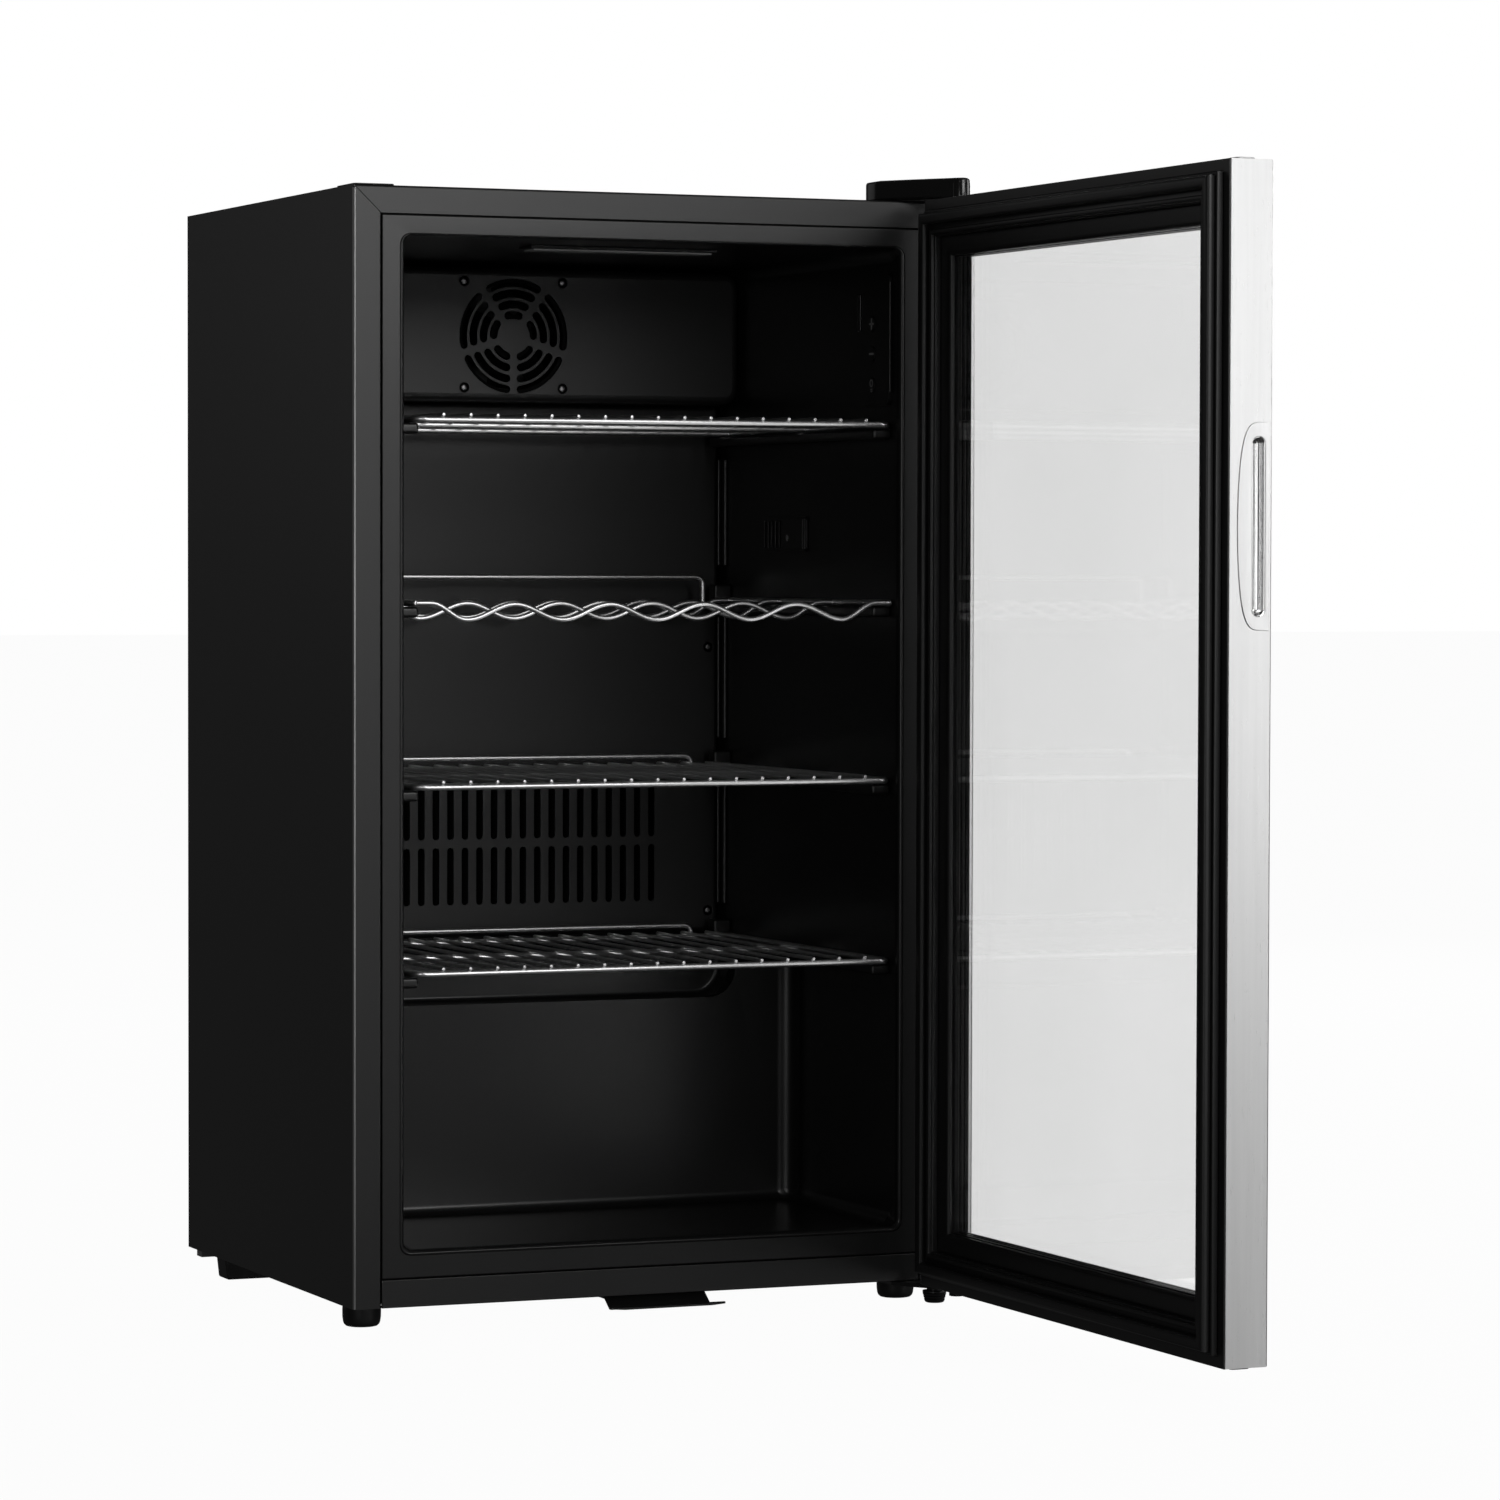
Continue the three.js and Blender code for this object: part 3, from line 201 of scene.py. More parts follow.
def object_from(name, bm, finish, place=CABINET, smooth=SMOOTH):
    """A mesh object from drawing coordinates, shaded smooth below the given edge angle."""
    bmesh.ops.transform(bm, matrix=place, verts=bm.verts)
    bmesh.ops.recalc_face_normals(bm, faces=bm.faces)
    mesh = bpy.data.meshes.new(name)
    bm.to_mesh(mesh)
    bm.free()
    return object_of_mesh(name, mesh, finish, smooth)


def object_of_mesh(name, mesh, finish, smooth=SMOOTH):
    mesh.shade_smooth()
    mesh.set_sharp_from_angle(angle=math.radians(smooth))
    mesh.materials.clear()
    mesh.materials.append(finish)
    return flatten(add_object(name, mesh))


def flatten(obj):
    """Keeps large faces flat where they meet a small rounded one."""
    mod = obj.modifiers.new("flatten", "WEIGHTED_NORMAL")
    mod.mode = "FACE_AREA"
    mod.weight = 100
    mod.keep_sharp = True
    return obj


def round_edges(obj, width, segments, angle=40.0):
    """Bevels the edges that turn by more than the given angle."""
    obj.modifiers.clear()
    mod = obj.modifiers.new("round_edges", "BEVEL")
    mod.width = width * MM
    mod.segments = segments
    mod.limit_method = "ANGLE"
    mod.angle_limit = math.radians(angle)
    mod.use_clamp_overlap = True
    return flatten(obj)


def applied(obj):
    """The object's modifiers made permanent."""
    graph = bpy.context.evaluated_depsgraph_get()
    mesh = bpy.data.meshes.new_from_object(obj.evaluated_get(graph))
    obj.modifiers.clear()
    obj.data = mesh
    return obj


def carve(obj, tools, operation="DIFFERENCE"):
    """Cuts the tools out of a piece, or adds them to it, and removes them."""
    for each in (obj, *tools):
        each.modifiers.clear()
    for tool in tools:
        mod = obj.modifiers.new("carve", "BOOLEAN")
        mod.object = tool
        mod.operation = operation
        mod.solver = "EXACT"
    finish = obj.data.materials[0]
    applied(obj)
    for tool in tools:
        bpy.data.objects.remove(tool)
    obj.data.materials.clear()
    obj.data.materials.append(finish)
    obj.data.shade_smooth()
    obj.data.set_sharp_from_angle(angle=math.radians(SMOOTH))
    return flatten(obj)


def refined(name, nodes, finish, body, width, segments=3):
    """Pieces with the CAD nodes' shape, their faces merged and their edges rounded."""
    bm = bmesh.new()
    for node in nodes:
        bm.from_mesh(frame["nodes"][node].data)
    bmesh.ops.remove_doubles(bm, verts=bm.verts, dist=1e-6)
    bmesh.ops.dissolve_limit(bm, angle_limit=math.radians(1.0), verts=bm.verts, edges=bm.edges)
    obj = object_from(name, bm, finish, Matrix.Identity(4))
    if width:
        round_edges(obj, width, segments, REFINED_EDGE)
    return settle(obj, body, nodes)


def add_box(bm, x, y, z):
    made = bmesh.ops.create_cube(bm, size=1)["verts"]
    size = Matrix.Diagonal((x[1] - x[0], y[1] - y[0], z[1] - z[0], 1))
    middle = Matrix.Translation([(a + b) / 2 for a, b in (x, y, z)])
    bmesh.ops.transform(bm, matrix=middle @ size, verts=made)
    return made


def block(name, x, y, z, finish, width=0.0, segments=3):
    bm = bmesh.new()
    add_box(bm, x, y, z)
    obj = object_from(name, bm, finish)
    return round_edges(obj, width, segments) if width else obj


def loft_into(bm, loops, close=False, cap=True):
    """Skins consecutive loops of points. close joins the last loop back to the first."""
    rings = [[bm.verts.new(p) for p in loop] for loop in loops]
    pairs = list(zip(rings, rings[1:])) + ([(rings[-1], rings[0])] if close else [])
    for a, b in pairs:
        for i in range(len(a)):
            j = (i + 1) % len(a)
            bm.faces.new((a[i], a[j], b[j], b[i]))
    if cap and not close:
        bm.faces.new(rings[0][::-1])
        bm.faces.new(rings[-1])


def loft(name, loops, finish, place=CABINET, close=False, cap=True, smooth=SMOOTH):
    bm = bmesh.new()
    loft_into(bm, loops, close, cap)
    return object_from(name, bm, finish, place, smooth)


def arc(cu, cv, radius, start, end, steps):
    """Points along an arc about (cu, cv), between two angles in degrees."""
    turn = [math.radians(start + (end - start) * i / steps) for i in range(steps + 1)]
    return [(cu + radius * math.cos(a), cv + radius * math.sin(a)) for a in turn]


def rounded(u, v, radius, steps=8):
    """A rectangle's outline with round corners."""
    r = radius
    return (arc(u[1] - r, v[1] - r, r, 0, 90, steps) + arc(u[0] + r, v[1] - r, r, 90, 180, steps)
            + arc(u[0] + r, v[0] + r, r, 180, 270, steps)
            + arc(u[1] - r, v[0] + r, r, 270, 360, steps))


def stadium(u, v, steps):
    """A slot's outline, its ends half round."""
    return rounded(u, v, min(u[1] - u[0], v[1] - v[0]) / 2 - 1e-4, steps)


def lathe(name, profile, centre, finish, place=CABINET, axis="Z", steps=48):
    """Turns (radius, height) points about an axis through centre."""
    bm = bmesh.new()
    rows = []
    for radius, height in profile:
        ring = []
        for i in range(steps if radius > 1e-6 else 1):
            a = 2 * math.pi * i / steps
            p = (radius * math.cos(a), radius * math.sin(a), height)
            p = p if axis == "Z" else (p[0], p[2], -p[1]) if axis == "Y" else (p[2], p[0], p[1])
            ring.append(bm.verts.new(Vector(centre) + Vector(p)))
        rows.append(ring)
    for a, b in zip(rows, rows[1:]):
        for i in range(steps):
            j = (i + 1) % steps
            if len(a) == 1:
                bm.faces.new((a[0], b[j], b[i]))
            elif len(b) == 1:
                bm.faces.new((a[i], a[j], b[0]))
            else:
                bm.faces.new((a[i], a[j], b[j], b[i]))
    return object_from(name, bm, finish, place, TURNED_SMOOTH)


def tube_into(bm, points, radius, close):
    """A round wire along points, with domed ends."""
    path = [Vector(p) for p in points]
    count = len(path)
    normal = None
    loops = []
    for i, p in enumerate(path):
        before = path[i - 1] if close or i else p
        after = path[(i + 1) % count] if close or i < count - 1 else p
        along = (after - before).normalized()
        if normal is None:
            normal = along.orthogonal().normalized()
        normal = (normal - along * normal.dot(along)).normalized()
        across = along.cross(normal)
        turns = [2 * math.pi * k / WIRE_SIDES for k in range(WIRE_SIDES)]
        rings = [(p, radius)]
        if not close and i in (0, count - 1):
            tip = (-along if i == 0 else along) * radius * 0.45
            rings = [(p + tip, radius * 0.55), (p + tip * 0.6, radius * 0.85), (p, radius)]
            rings = rings if i == 0 else rings[::-1]
        for centre, r in rings:
            loops.append([centre + normal * (r * math.cos(t)) + across * (r * math.sin(t))
                          for t in turns])
    loft_into(bm, loops, close, cap=not close)


def wires(name, runs, finish):
    """One object of several wires, each (points, radius) or (points, radius, closed)."""
    bm = bmesh.new()
    for points, radius, *closed in runs:
        tube_into(bm, points, radius, any(closed))
    return object_from(name, bm, finish, smooth=50)


def bent(points, radius):
    """A path through points with its inner corners rounded."""
    steps = 6
    path = [Vector(points[0])]
    for before, corner, after in zip(points, points[1:], points[2:]):
        before, corner, after = Vector(before), Vector(corner), Vector(after)
        start = corner + (before - corner).normalized() * radius
        end = corner + (after - corner).normalized() * radius
        for i in range(steps + 1):
            t = i / steps
            path.append(start * (1 - t) ** 2 + corner * 2 * t * (1 - t) + end * t ** 2)
    path.append(Vector(points[-1]))
    return path


def plate(name, outline, holes, y, finish, place=CABINET, edge=0.4, turn="front"):
    """A flat plate with holes and rounded edges, from y[0] to y[1] along its normal.

    Outline points are (x, z) for turn "front", (x, y) for "top" and (y, z) for "side"."""
    curve = bpy.data.curves.new(name, "CURVE")
    curve.dimensions = "2D"
    curve.fill_mode = "BOTH"
    curve.bevel_depth = edge
    curve.bevel_resolution = 2
    curve.offset = -edge
    curve.extrude = (y[1] - y[0]) / 2 - edge
    for loop in [outline, *(hole[::-1] for hole in holes)]:
        line = curve.splines.new("POLY")
        line.points.add(len(loop) - 1)
        for point, (u, v) in zip(line.points, loop):
            point.co = (u, v, 0, 1)
        line.use_cyclic_u = True
    holder = add_object(name, curve)
    graph = bpy.context.evaluated_depsgraph_get()
    mesh = bpy.data.meshes.new_from_object(holder.evaluated_get(graph))
    bpy.data.objects.remove(holder)
    middle = (y[0] + y[1]) / 2
    axes = {
        "front": Matrix(((1, 0, 0, 0), (0, 0, 1, middle), (0, 1, 0, 0), (0, 0, 0, 1))),
        "top": Matrix.Translation((0, 0, middle)),
        "side": Matrix(((0, 0, 1, middle), (1, 0, 0, 0), (0, 1, 0, 0), (0, 0, 0, 1))),
    }
    bm = bmesh.new()
    bm.from_mesh(mesh)
    bpy.data.meshes.remove(mesh)
    bmesh.ops.remove_doubles(bm, verts=bm.verts, dist=1e-4)
    bmesh.ops.transform(bm, matrix=axes[turn], verts=bm.verts)
    return object_from(name, bm, finish, place)


def mitred(name, profile, half, bottom, top, finish, place=CABINET, open_foot=False,
           smooth=SMOOTH):
    """A moulding round a rectangle. The profile holds (margin from the outline, depth y)."""
    loops = []
    for sx, sz in ((-1, 0), (-1, 1), (1, 1), (1, 0)):
        loop = []
        for margin, y in profile:
            x = sx * (half - margin)
            low = bottom if open_foot else bottom + margin
            loop.append((x, y, top - margin if sz else low))
        loops.append(loop)
    return loft(name, loops, finish, place, close=not open_foot, cap=open_foot, smooth=smooth)


def joined(name, objects):
    """Several objects of one finish as one."""
    bm = bmesh.new()
    for obj in objects:
        bm.from_mesh(applied(obj).data if obj.modifiers else obj.data)
    finish = objects[0].data.materials[0]
    for obj in objects:
        bpy.data.objects.remove(obj)
    mesh = bpy.data.meshes.new(name)
    bm.to_mesh(mesh)
    bm.free()
    return object_of_mesh(name, mesh, finish)


def screw(name, x, z, y):
    """A domed cross-head screw sunk in its hole, facing forward."""
    radius = SCREW_HEAD
    head = lathe(name, [(0, 2.2), (radius, 2.2), (radius, 0.9), (radius * 0.9, 0.4),
                        (radius * 0.55, 0.05), (0, -0.05)], (x, y, z), screw_steel, axis="Y",
                 steps=28)
    cross = []
    for turn in (0.4, 0.4 + math.pi / 2):
        bm = bmesh.new()
        add_box(bm, (-radius * 0.6, radius * 0.6), (-1, 0.75), (-0.35, 0.35))
        place = Matrix.Translation((x, y, z)) @ Matrix.Rotation(turn, 4, "Y")
        bmesh.ops.transform(bm, matrix=place, verts=bm.verts)
        cross.append(object_from("cross", bm, screw_steel))
    carve(head, cross)
    return settle(head)


def screw_hole(x, z):
    return arc(x, z, SCREW_HOLE, 0, 345, 23)


# ---- outer case
FLANGE = 21.8
TOP_FLANGE = 21.0
SEAM = 0.8
FOLD = 1.8  # radius of the bend between a side and the front flange
SHEET = 1.0
GROOVE = 0.45  # half the width of the mitre line


def painted_fold_highlight(side):
    """A brighter metallic strip along the fold between a side and the front flange: a painted
    highlight standing in for the light its rounding catches.
    """
    x = side * (WIDTH / 2 - FOLD)
    ends = (0.4, HEIGHT - FOLD - 0.6)
    start, end = (182, 268) if side < 0 else (272, 358)
    section = arc(x, FOLD, FOLD, start, end, 10) + arc(x, FOLD, FOLD - 0.25, end, start, 10)
    strip = loft(f"case_fold_highlight_{hand(side)}", [[(u, v, z) for u, v in section] for z in ends],
                 fold_highlight_paint)
    settle(strip)


def case_sheet():
    """Sides and top: a folded sheet with its front edge turned in and mitred."""
    half, r = WIDTH / 2, FOLD
    under = r - 0.1
    edge = FLANGE - SEAM
    outer = [(edge, SHEET), (edge, 0.7), (edge - 0.2, 0.2), (edge - 0.7, 0.0)]
    outer += [(r, 0)] + [(r + u, r + v) for u, v in arc(0, 0, under, 268, 182, 8)] + [(0, r)]
    outer += [(0, DEPTH - 0.4), (0.4, DEPTH), (SHEET, DEPTH), (SHEET, SHEET)]
    sheet = mitred("case_sheet", outer, half, 0, HEIGHT, case_paint, open_foot=True)
    grooves = []
    for side in (-1, 1):
        bm = bmesh.new()
        length = math.hypot(FLANGE, TOP_FLANGE)
        add_box(bm, (-length / 2 + 0.8, length / 2 + 1), (-0.5, 0.8), (-GROOVE, GROOVE))
        lean = Matrix.Rotation(-side * math.atan2(TOP_FLANGE, FLANGE), 4, "Y")
        middle = Matrix.Translation((side * (half - FLANGE / 2), 0, HEIGHT - TOP_FLANGE / 2))
        flip = Matrix.Rotation(math.pi if side > 0 else 0, 4, "Z")
        bmesh.ops.transform(bm, matrix=middle @ lean @ flip, verts=bm.verts)
        grooves.append(object_from("groove", bm, case_paint))
    inner = half - edge
    top = HEIGHT - TOP_FLANGE + SEAM
    grooves.append(block("trim", (-inner, inner), (-0.5, SHEET + 0.05),
                         (HEIGHT - edge - 1, top), case_paint))
    carve(sheet, grooves)
    return settle(sheet, "cabinet", ["cabinet_shell"])


case_sheet()
painted_fold_highlight(-1)
painted_fold_highlight(1)
refined("bottom_rail", ["front_rail"], case_paint, "cabinet", 0.9)
refined("floor_pan", ["base_pan"], zinc_steel, "cabinet", 0.4)
refined("back_sheet", ["rear_panel"], case_paint, "cabinet", 0.4)
settle(plate("spare_hinge_cap", rounded((-238, -206), (4, 46), 4), [],
             (HEIGHT + 0.3, HEIGHT + 1.3), gloss_plastic, turn="top"),
       "cabinet", ["hinge_hole_cap"])


# ---- inner liner
BAY_HALF = 199.5
BAY_FLOOR = 42.5
BAY_CEILING = 790.5
BAY_REAR = 376.0
HUMP_FRONT = 200.0
HUMP_TOP = 236.0
NOTCH_HALF = 149.0
NOTCH_BOTTOM = 206.0
NOTCH_REAR = 234.0
LEDGE_INNER = 184.0
SHELF_LEVELS = {"top_shelf": 656.4, "wine_shelf": 520.4, "middle_shelf": 384.2,
                "bottom_shelf": 245.6}
LEDGE_HEIGHT = 8.0
LUG_HEIGHT = 16.0
LINER = 2.0
FRAME_WIRE = 2.5  # radius
CROSS_WIRE = 1.5  # radius


def bay_cavity(front):
    """The storage space as a solid, its edges rounded by their own radii.

    long_radius belongs to the edges along x, side_radius to those along the side walls."""
    profile = [(front, BAY_FLOOR), (HUMP_FRONT, BAY_FLOOR), (HUMP_FRONT, HUMP_TOP),
               (BAY_REAR, HUMP_TOP), (BAY_REAR, BAY_CEILING), (front, BAY_CEILING)]
    long_radius = [0, 8, 5, 5, 6, 0]
    side_radius = [10, 15, 6, 8, 10, 0]
    bm = bmesh.new()
    caps = [[bm.verts.new((x, y, z)) for y, z in profile] for x in (-BAY_HALF, BAY_HALF)]
    bm.faces.new(caps[0])
    bm.faces.new(caps[1][::-1])
    count = len(profile)
    weight = bm.edges.layers.float.new("bevel_weight_edge")
    widest = max(long_radius + side_radius)
    for i in range(count):
        j = (i + 1) % count
        bm.faces.new((caps[0][i], caps[0][j], caps[1][j], caps[1][i]))
        bm.edges.get((caps[0][i], caps[1][i]))[weight] = long_radius[i] / widest
        for cap in caps:
            bm.edges.get((cap[i], cap[j]))[weight] = side_radius[i] / widest
    obj = object_from("cavity", bm, liner_plastic)
    obj.modifiers.clear()
    mod = obj.modifiers.new("round", "BEVEL")
    mod.limit_method = "WEIGHT"
    mod.width = widest * MM
    mod.segments = 8
    mod.use_clamp_overlap = False
    return applied(obj)


def grown(u, v, radius, by, y):
    """A rounded outline at depth y, grown on all sides."""
    return [(a, y, b) for a, b in rounded((u[0] - by, u[1] + by), (v[0] - by, v[1] + by),
                                          max(radius + by, 0.5))]


def mouth_tool():
    """Flares the mouth into a rolled bead with a fine groove outside it."""
    (x0, x1), (z0, z1) = (-BAY_HALF, BAY_HALF), (BAY_FLOOR, BAY_CEILING)
    profile = [(0, 14), (0, 5.2), (0.25, 3.6), (0.9, 1.9), (1.8, 0.7), (2.7, 0.15), (3.3, 0.1),
               (3.8, 0.5), (4.1, 0.75), (4.5, 0.2), (4.6, -0.4), (4.6, -2)]
    top_share = 0.45
    loops = []
    for grow, y in profile:
        corner = 10 if y > 10 else 6 + grow * 0.6
        outline = rounded((x0 - grow, x1 + grow), (z0 - grow, z1 + grow * top_share), corner)
        loops.append([(x, y, z) for x, z in outline])
    return loft("mouth", loops, liner_plastic)


def notch_tool():
    """The drain notch in the step, its front edge rounded over."""
    u, v = (-NOTCH_HALF, NOTCH_HALF), (NOTCH_BOTTOM, HUMP_TOP + 60)
    corner, lip, fillet = 22, 4.0, 4.0
    steps = 6
    loops = [grown(u, v, corner - 2, lip, HUMP_FRONT - 3)]
    for i in range(steps, -1, -1):
        a = math.pi / 2 * i / steps
        loops.append(grown(u, v, corner, lip * (1 - math.sin(a)), HUMP_FRONT + lip * math.cos(a)))
    for i in range(steps + 1):
        a = math.pi / 2 * i / steps
        loops.append(grown(u, v, corner, -fillet * (1 - math.cos(a)),
                           NOTCH_REAR - fillet * (1 - math.sin(a))))
    return loft("notch", loops, liner_plastic)


def liner():
    """Front frame and storage space in one moulding."""
    (x0, x1), (y0, y1), (z0, z1) = span("inner_liner")
    frame_slab = applied(block("liner_moulding", (x0 + 0.2, x1 - 0.2), (0, LINER),
                               (z0 + 0.3, z1 - 0.1), liner_plastic, width=0.8))
    half = BAY_HALF + LINER
    bodies = [
        block("body", (-half, half), (1, HUMP_FRONT + LINER),
              (BAY_FLOOR - LINER, HUMP_TOP + 20), liner_plastic),
        block("body", (-half, half), (1, y1), (HUMP_TOP - LINER, BAY_CEILING + LINER),
              liner_plastic),
        block("body", (-NOTCH_HALF - LINER, NOTCH_HALF + LINER), (150, NOTCH_REAR + LINER),
              (NOTCH_BOTTOM - LINER, HUMP_TOP + 40), liner_plastic),
    ]
    carve(frame_slab, bodies, "UNION")
    carve(frame_slab, [bay_cavity(-4), mouth_tool(), notch_tool()])
    return settle(frame_slab, "cabinet", ["inner_liner"])


def shelf_runners():
    """A rounded runner on each side wall under every shelf, with a stop lug at its end."""
    for name, level in SHELF_LEVELS.items():
        top = level - FRAME_WIRE - 0.3
        for side in (-1, 1):
            x = sorted((side * LEDGE_INNER, side * BAY_HALF))
            rail = block("rail", x, (14, 341), (top - LEDGE_HEIGHT, top), liner_plastic,
                         width=2.2, segments=4)
            lug = block("lug", x, (328, 341), (top - 1, top + LUG_HEIGHT), liner_plastic,
                        width=2.2, segments=4)
            settle(joined(f"{name}_runner_{hand(side)}", [rail, lug]))


def corner_channels():
    """Rounded ribs up the rear corners between the shelf runners."""
    spans = [(270, 372), (406, 508), (548, 637)]
    for side in (-1, 1):
        for i, (z0, z1) in enumerate(spans):
            strips = []
            for y in (339.5, 353.0):
                x = sorted((side * (BAY_HALF - 3.4), side * (BAY_HALF + 0.6)))
                strips.append(block("rib", x, (y - 2.2, y + 2.2), (z0, z1), liner_plastic,
                                    width=1.9, segments=5))
            settle(joined(f"corner_rib_{hand(side)}_{i + 1}", strips))


liner()
shelf_runners()
corner_channels()

# ---- cold side
COVER_FRONT = 350.0
COVER_HALF = 196.0
COVER_BOTTOM = 248.0
FAN_FRONT = 310.0
FAN_BOTTOM = 679.5
FAN_TOP = 786.5
FAN_X, FAN_Z = 1.5, 732.0
FAN_RINGS = (17, 25.6, 34.3, 42.9)
FAN_SPOKES = (-90, -18, 54, 126, 198)
FAN_SLOT = 3.05  # half width
SPOKE = 5.85  # half width, to the centres of the slots' ends
VENT_COUNT = 23
VENT_PITCH = 12.5
VENT_SLOT = 2.7  # half width


def tray_skirt(name, u, v, corner, front, rear, round_over, finish):
    """The sides of a shallow tray, rolled over to meet its flat face."""
    def ring(inset, y):
        outline = rounded((u[0] + inset, u[1] - inset), (v[0] + inset, v[1] - inset),
                          max(corner - inset, 0.3))
        return [(p, y, q) for p, q in outline]

    wall, steps = 2, 6
    loops = []
    for i in range(steps + 1):
        a = math.pi / 2 * i / steps
        loops.append(ring(round_over * (1 - math.sin(a)), front + round_over * (1 - math.cos(a))))
    loops += [ring(0, rear), ring(wall, rear), ring(wall, front + round_over + 1),
              ring(round_over + 0.4, front + wall)]
    return loft(name, loops, finish, close=True)


def evaporator_cover():
    u, v, over = (-COVER_HALF, COVER_HALF), (COVER_BOTTOM, FAN_BOTTOM - 0.3), 3.0
    skirt = tray_skirt("skirt", u, v, 4, COVER_FRONT, 372, over, cover_plastic)
    holes = []
    for z in ((273.8, 320.3), (326.8, 373)):
        for i in range(VENT_COUNT):
            x = (i - VENT_COUNT // 2) * VENT_PITCH
            holes.append(stadium((x - VENT_SLOT, x + VENT_SLOT), z, 6))
    screws = [(x, z) for z in (482, 265) for x in (-187.7, 187.7)]
    holes += [screw_hole(*at) for at in screws]
    inset = over + 0.02
    flat = rounded((u[0] + inset, u[1] - inset), (v[0] + inset, v[1] - inset), 1.2, 4)
    face = plate("face", flat, holes, (COVER_FRONT, COVER_FRONT + 2), cover_plastic, edge=0.25)
    settle(joined("evaporator_cover_tray", [skirt, face]), "cabinet", ["evaporator_cover"])
    # A near-black matt sheet behind the vent slots: painted shade inside the slots.
    shade_sheet = plate("vent_shade_sheet", rounded((-149, 149), (267, 380), 3, 4), [], (373, 375),
                   slot_shade_black, edge=0.3)
    settle(shade_sheet)
    for i, (x, z) in enumerate(screws):
        screw(f"cover_screw_{i + 1}", x, z, COVER_FRONT)


def ring_slot(radius, half, start, end):
    """A slot along a circle, with round ends."""
    steps = 14
    outer = arc(FAN_X, FAN_Z, radius + half, start, end, steps)
    inner = arc(FAN_X, FAN_Z, radius - half, end, start, steps)
    tips = []
    for angle, sign in ((end, 1), (start, -1)):
        a = math.radians(angle)
        cx, cz = FAN_X + radius * math.cos(a), FAN_Z + radius * math.sin(a)
        first = angle if sign > 0 else angle + 180
        tips.append(arc(cx, cz, half, first, first + 180, 6)[1:-1])
    return outer + tips[0] + inner + tips[1]


def fan_cover():
    u, v, over = (-198.0, 198.0), (FAN_BOTTOM, FAN_TOP), 6.0
    skirt = tray_skirt("skirt", u, v, 13, FAN_FRONT, 371, over, cover_plastic)
    holes = []
    for radius in FAN_RINGS:
        margin = math.degrees(SPOKE / radius)
        for spoke in FAN_SPOKES:
            after = spoke + 360 / len(FAN_SPOKES)
            holes.append(ring_slot(radius, FAN_SLOT, spoke + margin, after - margin))
    screws = [(FAN_X + x, z) for x in (-42, 42) for z in (775.5, 690.5)]
    holes += [screw_hole(*at) for at in screws]
    inset = over + 0.02
    flat = rounded((u[0] + inset, u[1] - inset), (v[0] + inset, v[1] - inset), 7.0)
    face = plate("face", flat, holes, (FAN_FRONT, FAN_FRONT + 2), cover_plastic, edge=0.3)
    settle(joined("fan_cover_tray", [skirt, face]), "cabinet", ["fan_housing"])
    for i, (x, z) in enumerate(screws):
        screw(f"fan_screw_{i + 1}", x, z, FAN_FRONT)


evaporator_cover()
fan_cover()
refined("lamp_case", ["lamp_housing"], dark_plastic, "cabinet", 0.5)
refined("lamp_window", ["lamp_lens"], diffuser, "cabinet", 0.3)

# ---- control panel and sensor
PANEL_FACE = 196.4
BUTTON_Y = 43.5
BUTTONS = {"plus_button": 735.0, "minus_button": 712.0, "lamp_button": 688.0}
refined("button_panel", ["control_panel"], liner_plastic, "cabinet", 0.9, 4)
refined("probe_guard", ["sensor_cover"], liner_plastic, "cabinet", 0.7)


def buttons_and_symbols():
    for name, z in BUTTONS.items():
        profile = [(0, 1.2), (6, 1.2), (6, -0.2), (5.5, -0.7), (4.6, -0.85), (0, -0.6)]
        cap = lathe(f"{name}_cap", profile, (PANEL_FACE, BUTTON_Y, z), liner_plastic, axis="X",
                    steps=40)
        settle(cap, name, [name])
    face = PANEL_FACE - 0.95
    depth = (face, face + 0.35)
    y = BUTTON_Y

    def bar(name, body, dy, z, half_y, half_z):
        mark = plate(name, stadium((y + dy - half_y, y + dy + half_y), (z - half_z, z + half_z), 4),
                     [], depth, symbol_print, edge=0.05, turn="side")
        settle(mark, body)

    z = BUTTONS["plus_button"]
    bar("plus_mark_across", "plus_button", 0, z, 4.2, 0.7)
    bar("plus_mark_upright", "plus_button", 0, z, 0.9, 4.4)
    bar("minus_mark", "minus_button", 0, BUTTONS["minus_button"], 4.2, 0.8)
    z = BUTTONS["lamp_button"]
    ring = plate("lamp_mark_bulb", rounded((y - 2.8, y + 2.8), (z - 1.6, z + 4.4), 2.79, 6),
                 [rounded((y - 1.9, y + 1.9), (z - 0.7, z + 3.5), 1.89, 6)], depth, symbol_print,
                 edge=0.05, turn="side")
    settle(ring, "lamp_button")
    bar("lamp_mark_foot", "lamp_button", 0, z - 3.4, 1.6, 0.5)
    bar("lamp_mark_base", "lamp_button", 0, z - 4.9, 1.1, 0.45)


def display_window():
    """Dark display strip at the rear end of the button panel."""
    strip = plate("display_strip", rounded((64, 71), (730, 759), 1.2, 4), [],
                  (PANEL_FACE - 1.2, PANEL_FACE - 0.02), gloss_plastic, edge=0.5, turn="side")
    settle(strip)
    path = [(PANEL_FACE + 0.8, 12.4, z) for z in (682, 766)]
    settle(wires("panel_front_bead", [(path, 1.1)], liner_plastic))


def sensor_knob():
    knob = lathe("probe_knob", [(0, 2), (3.4, 2), (3.4, -1.6), (2.6, -2.6), (0, -2.9)],
                 (BAY_HALF - 2.2, 204, 571), polished, axis="X", steps=32)
    settle(knob)


buttons_and_symbols()
display_window()
sensor_knob()

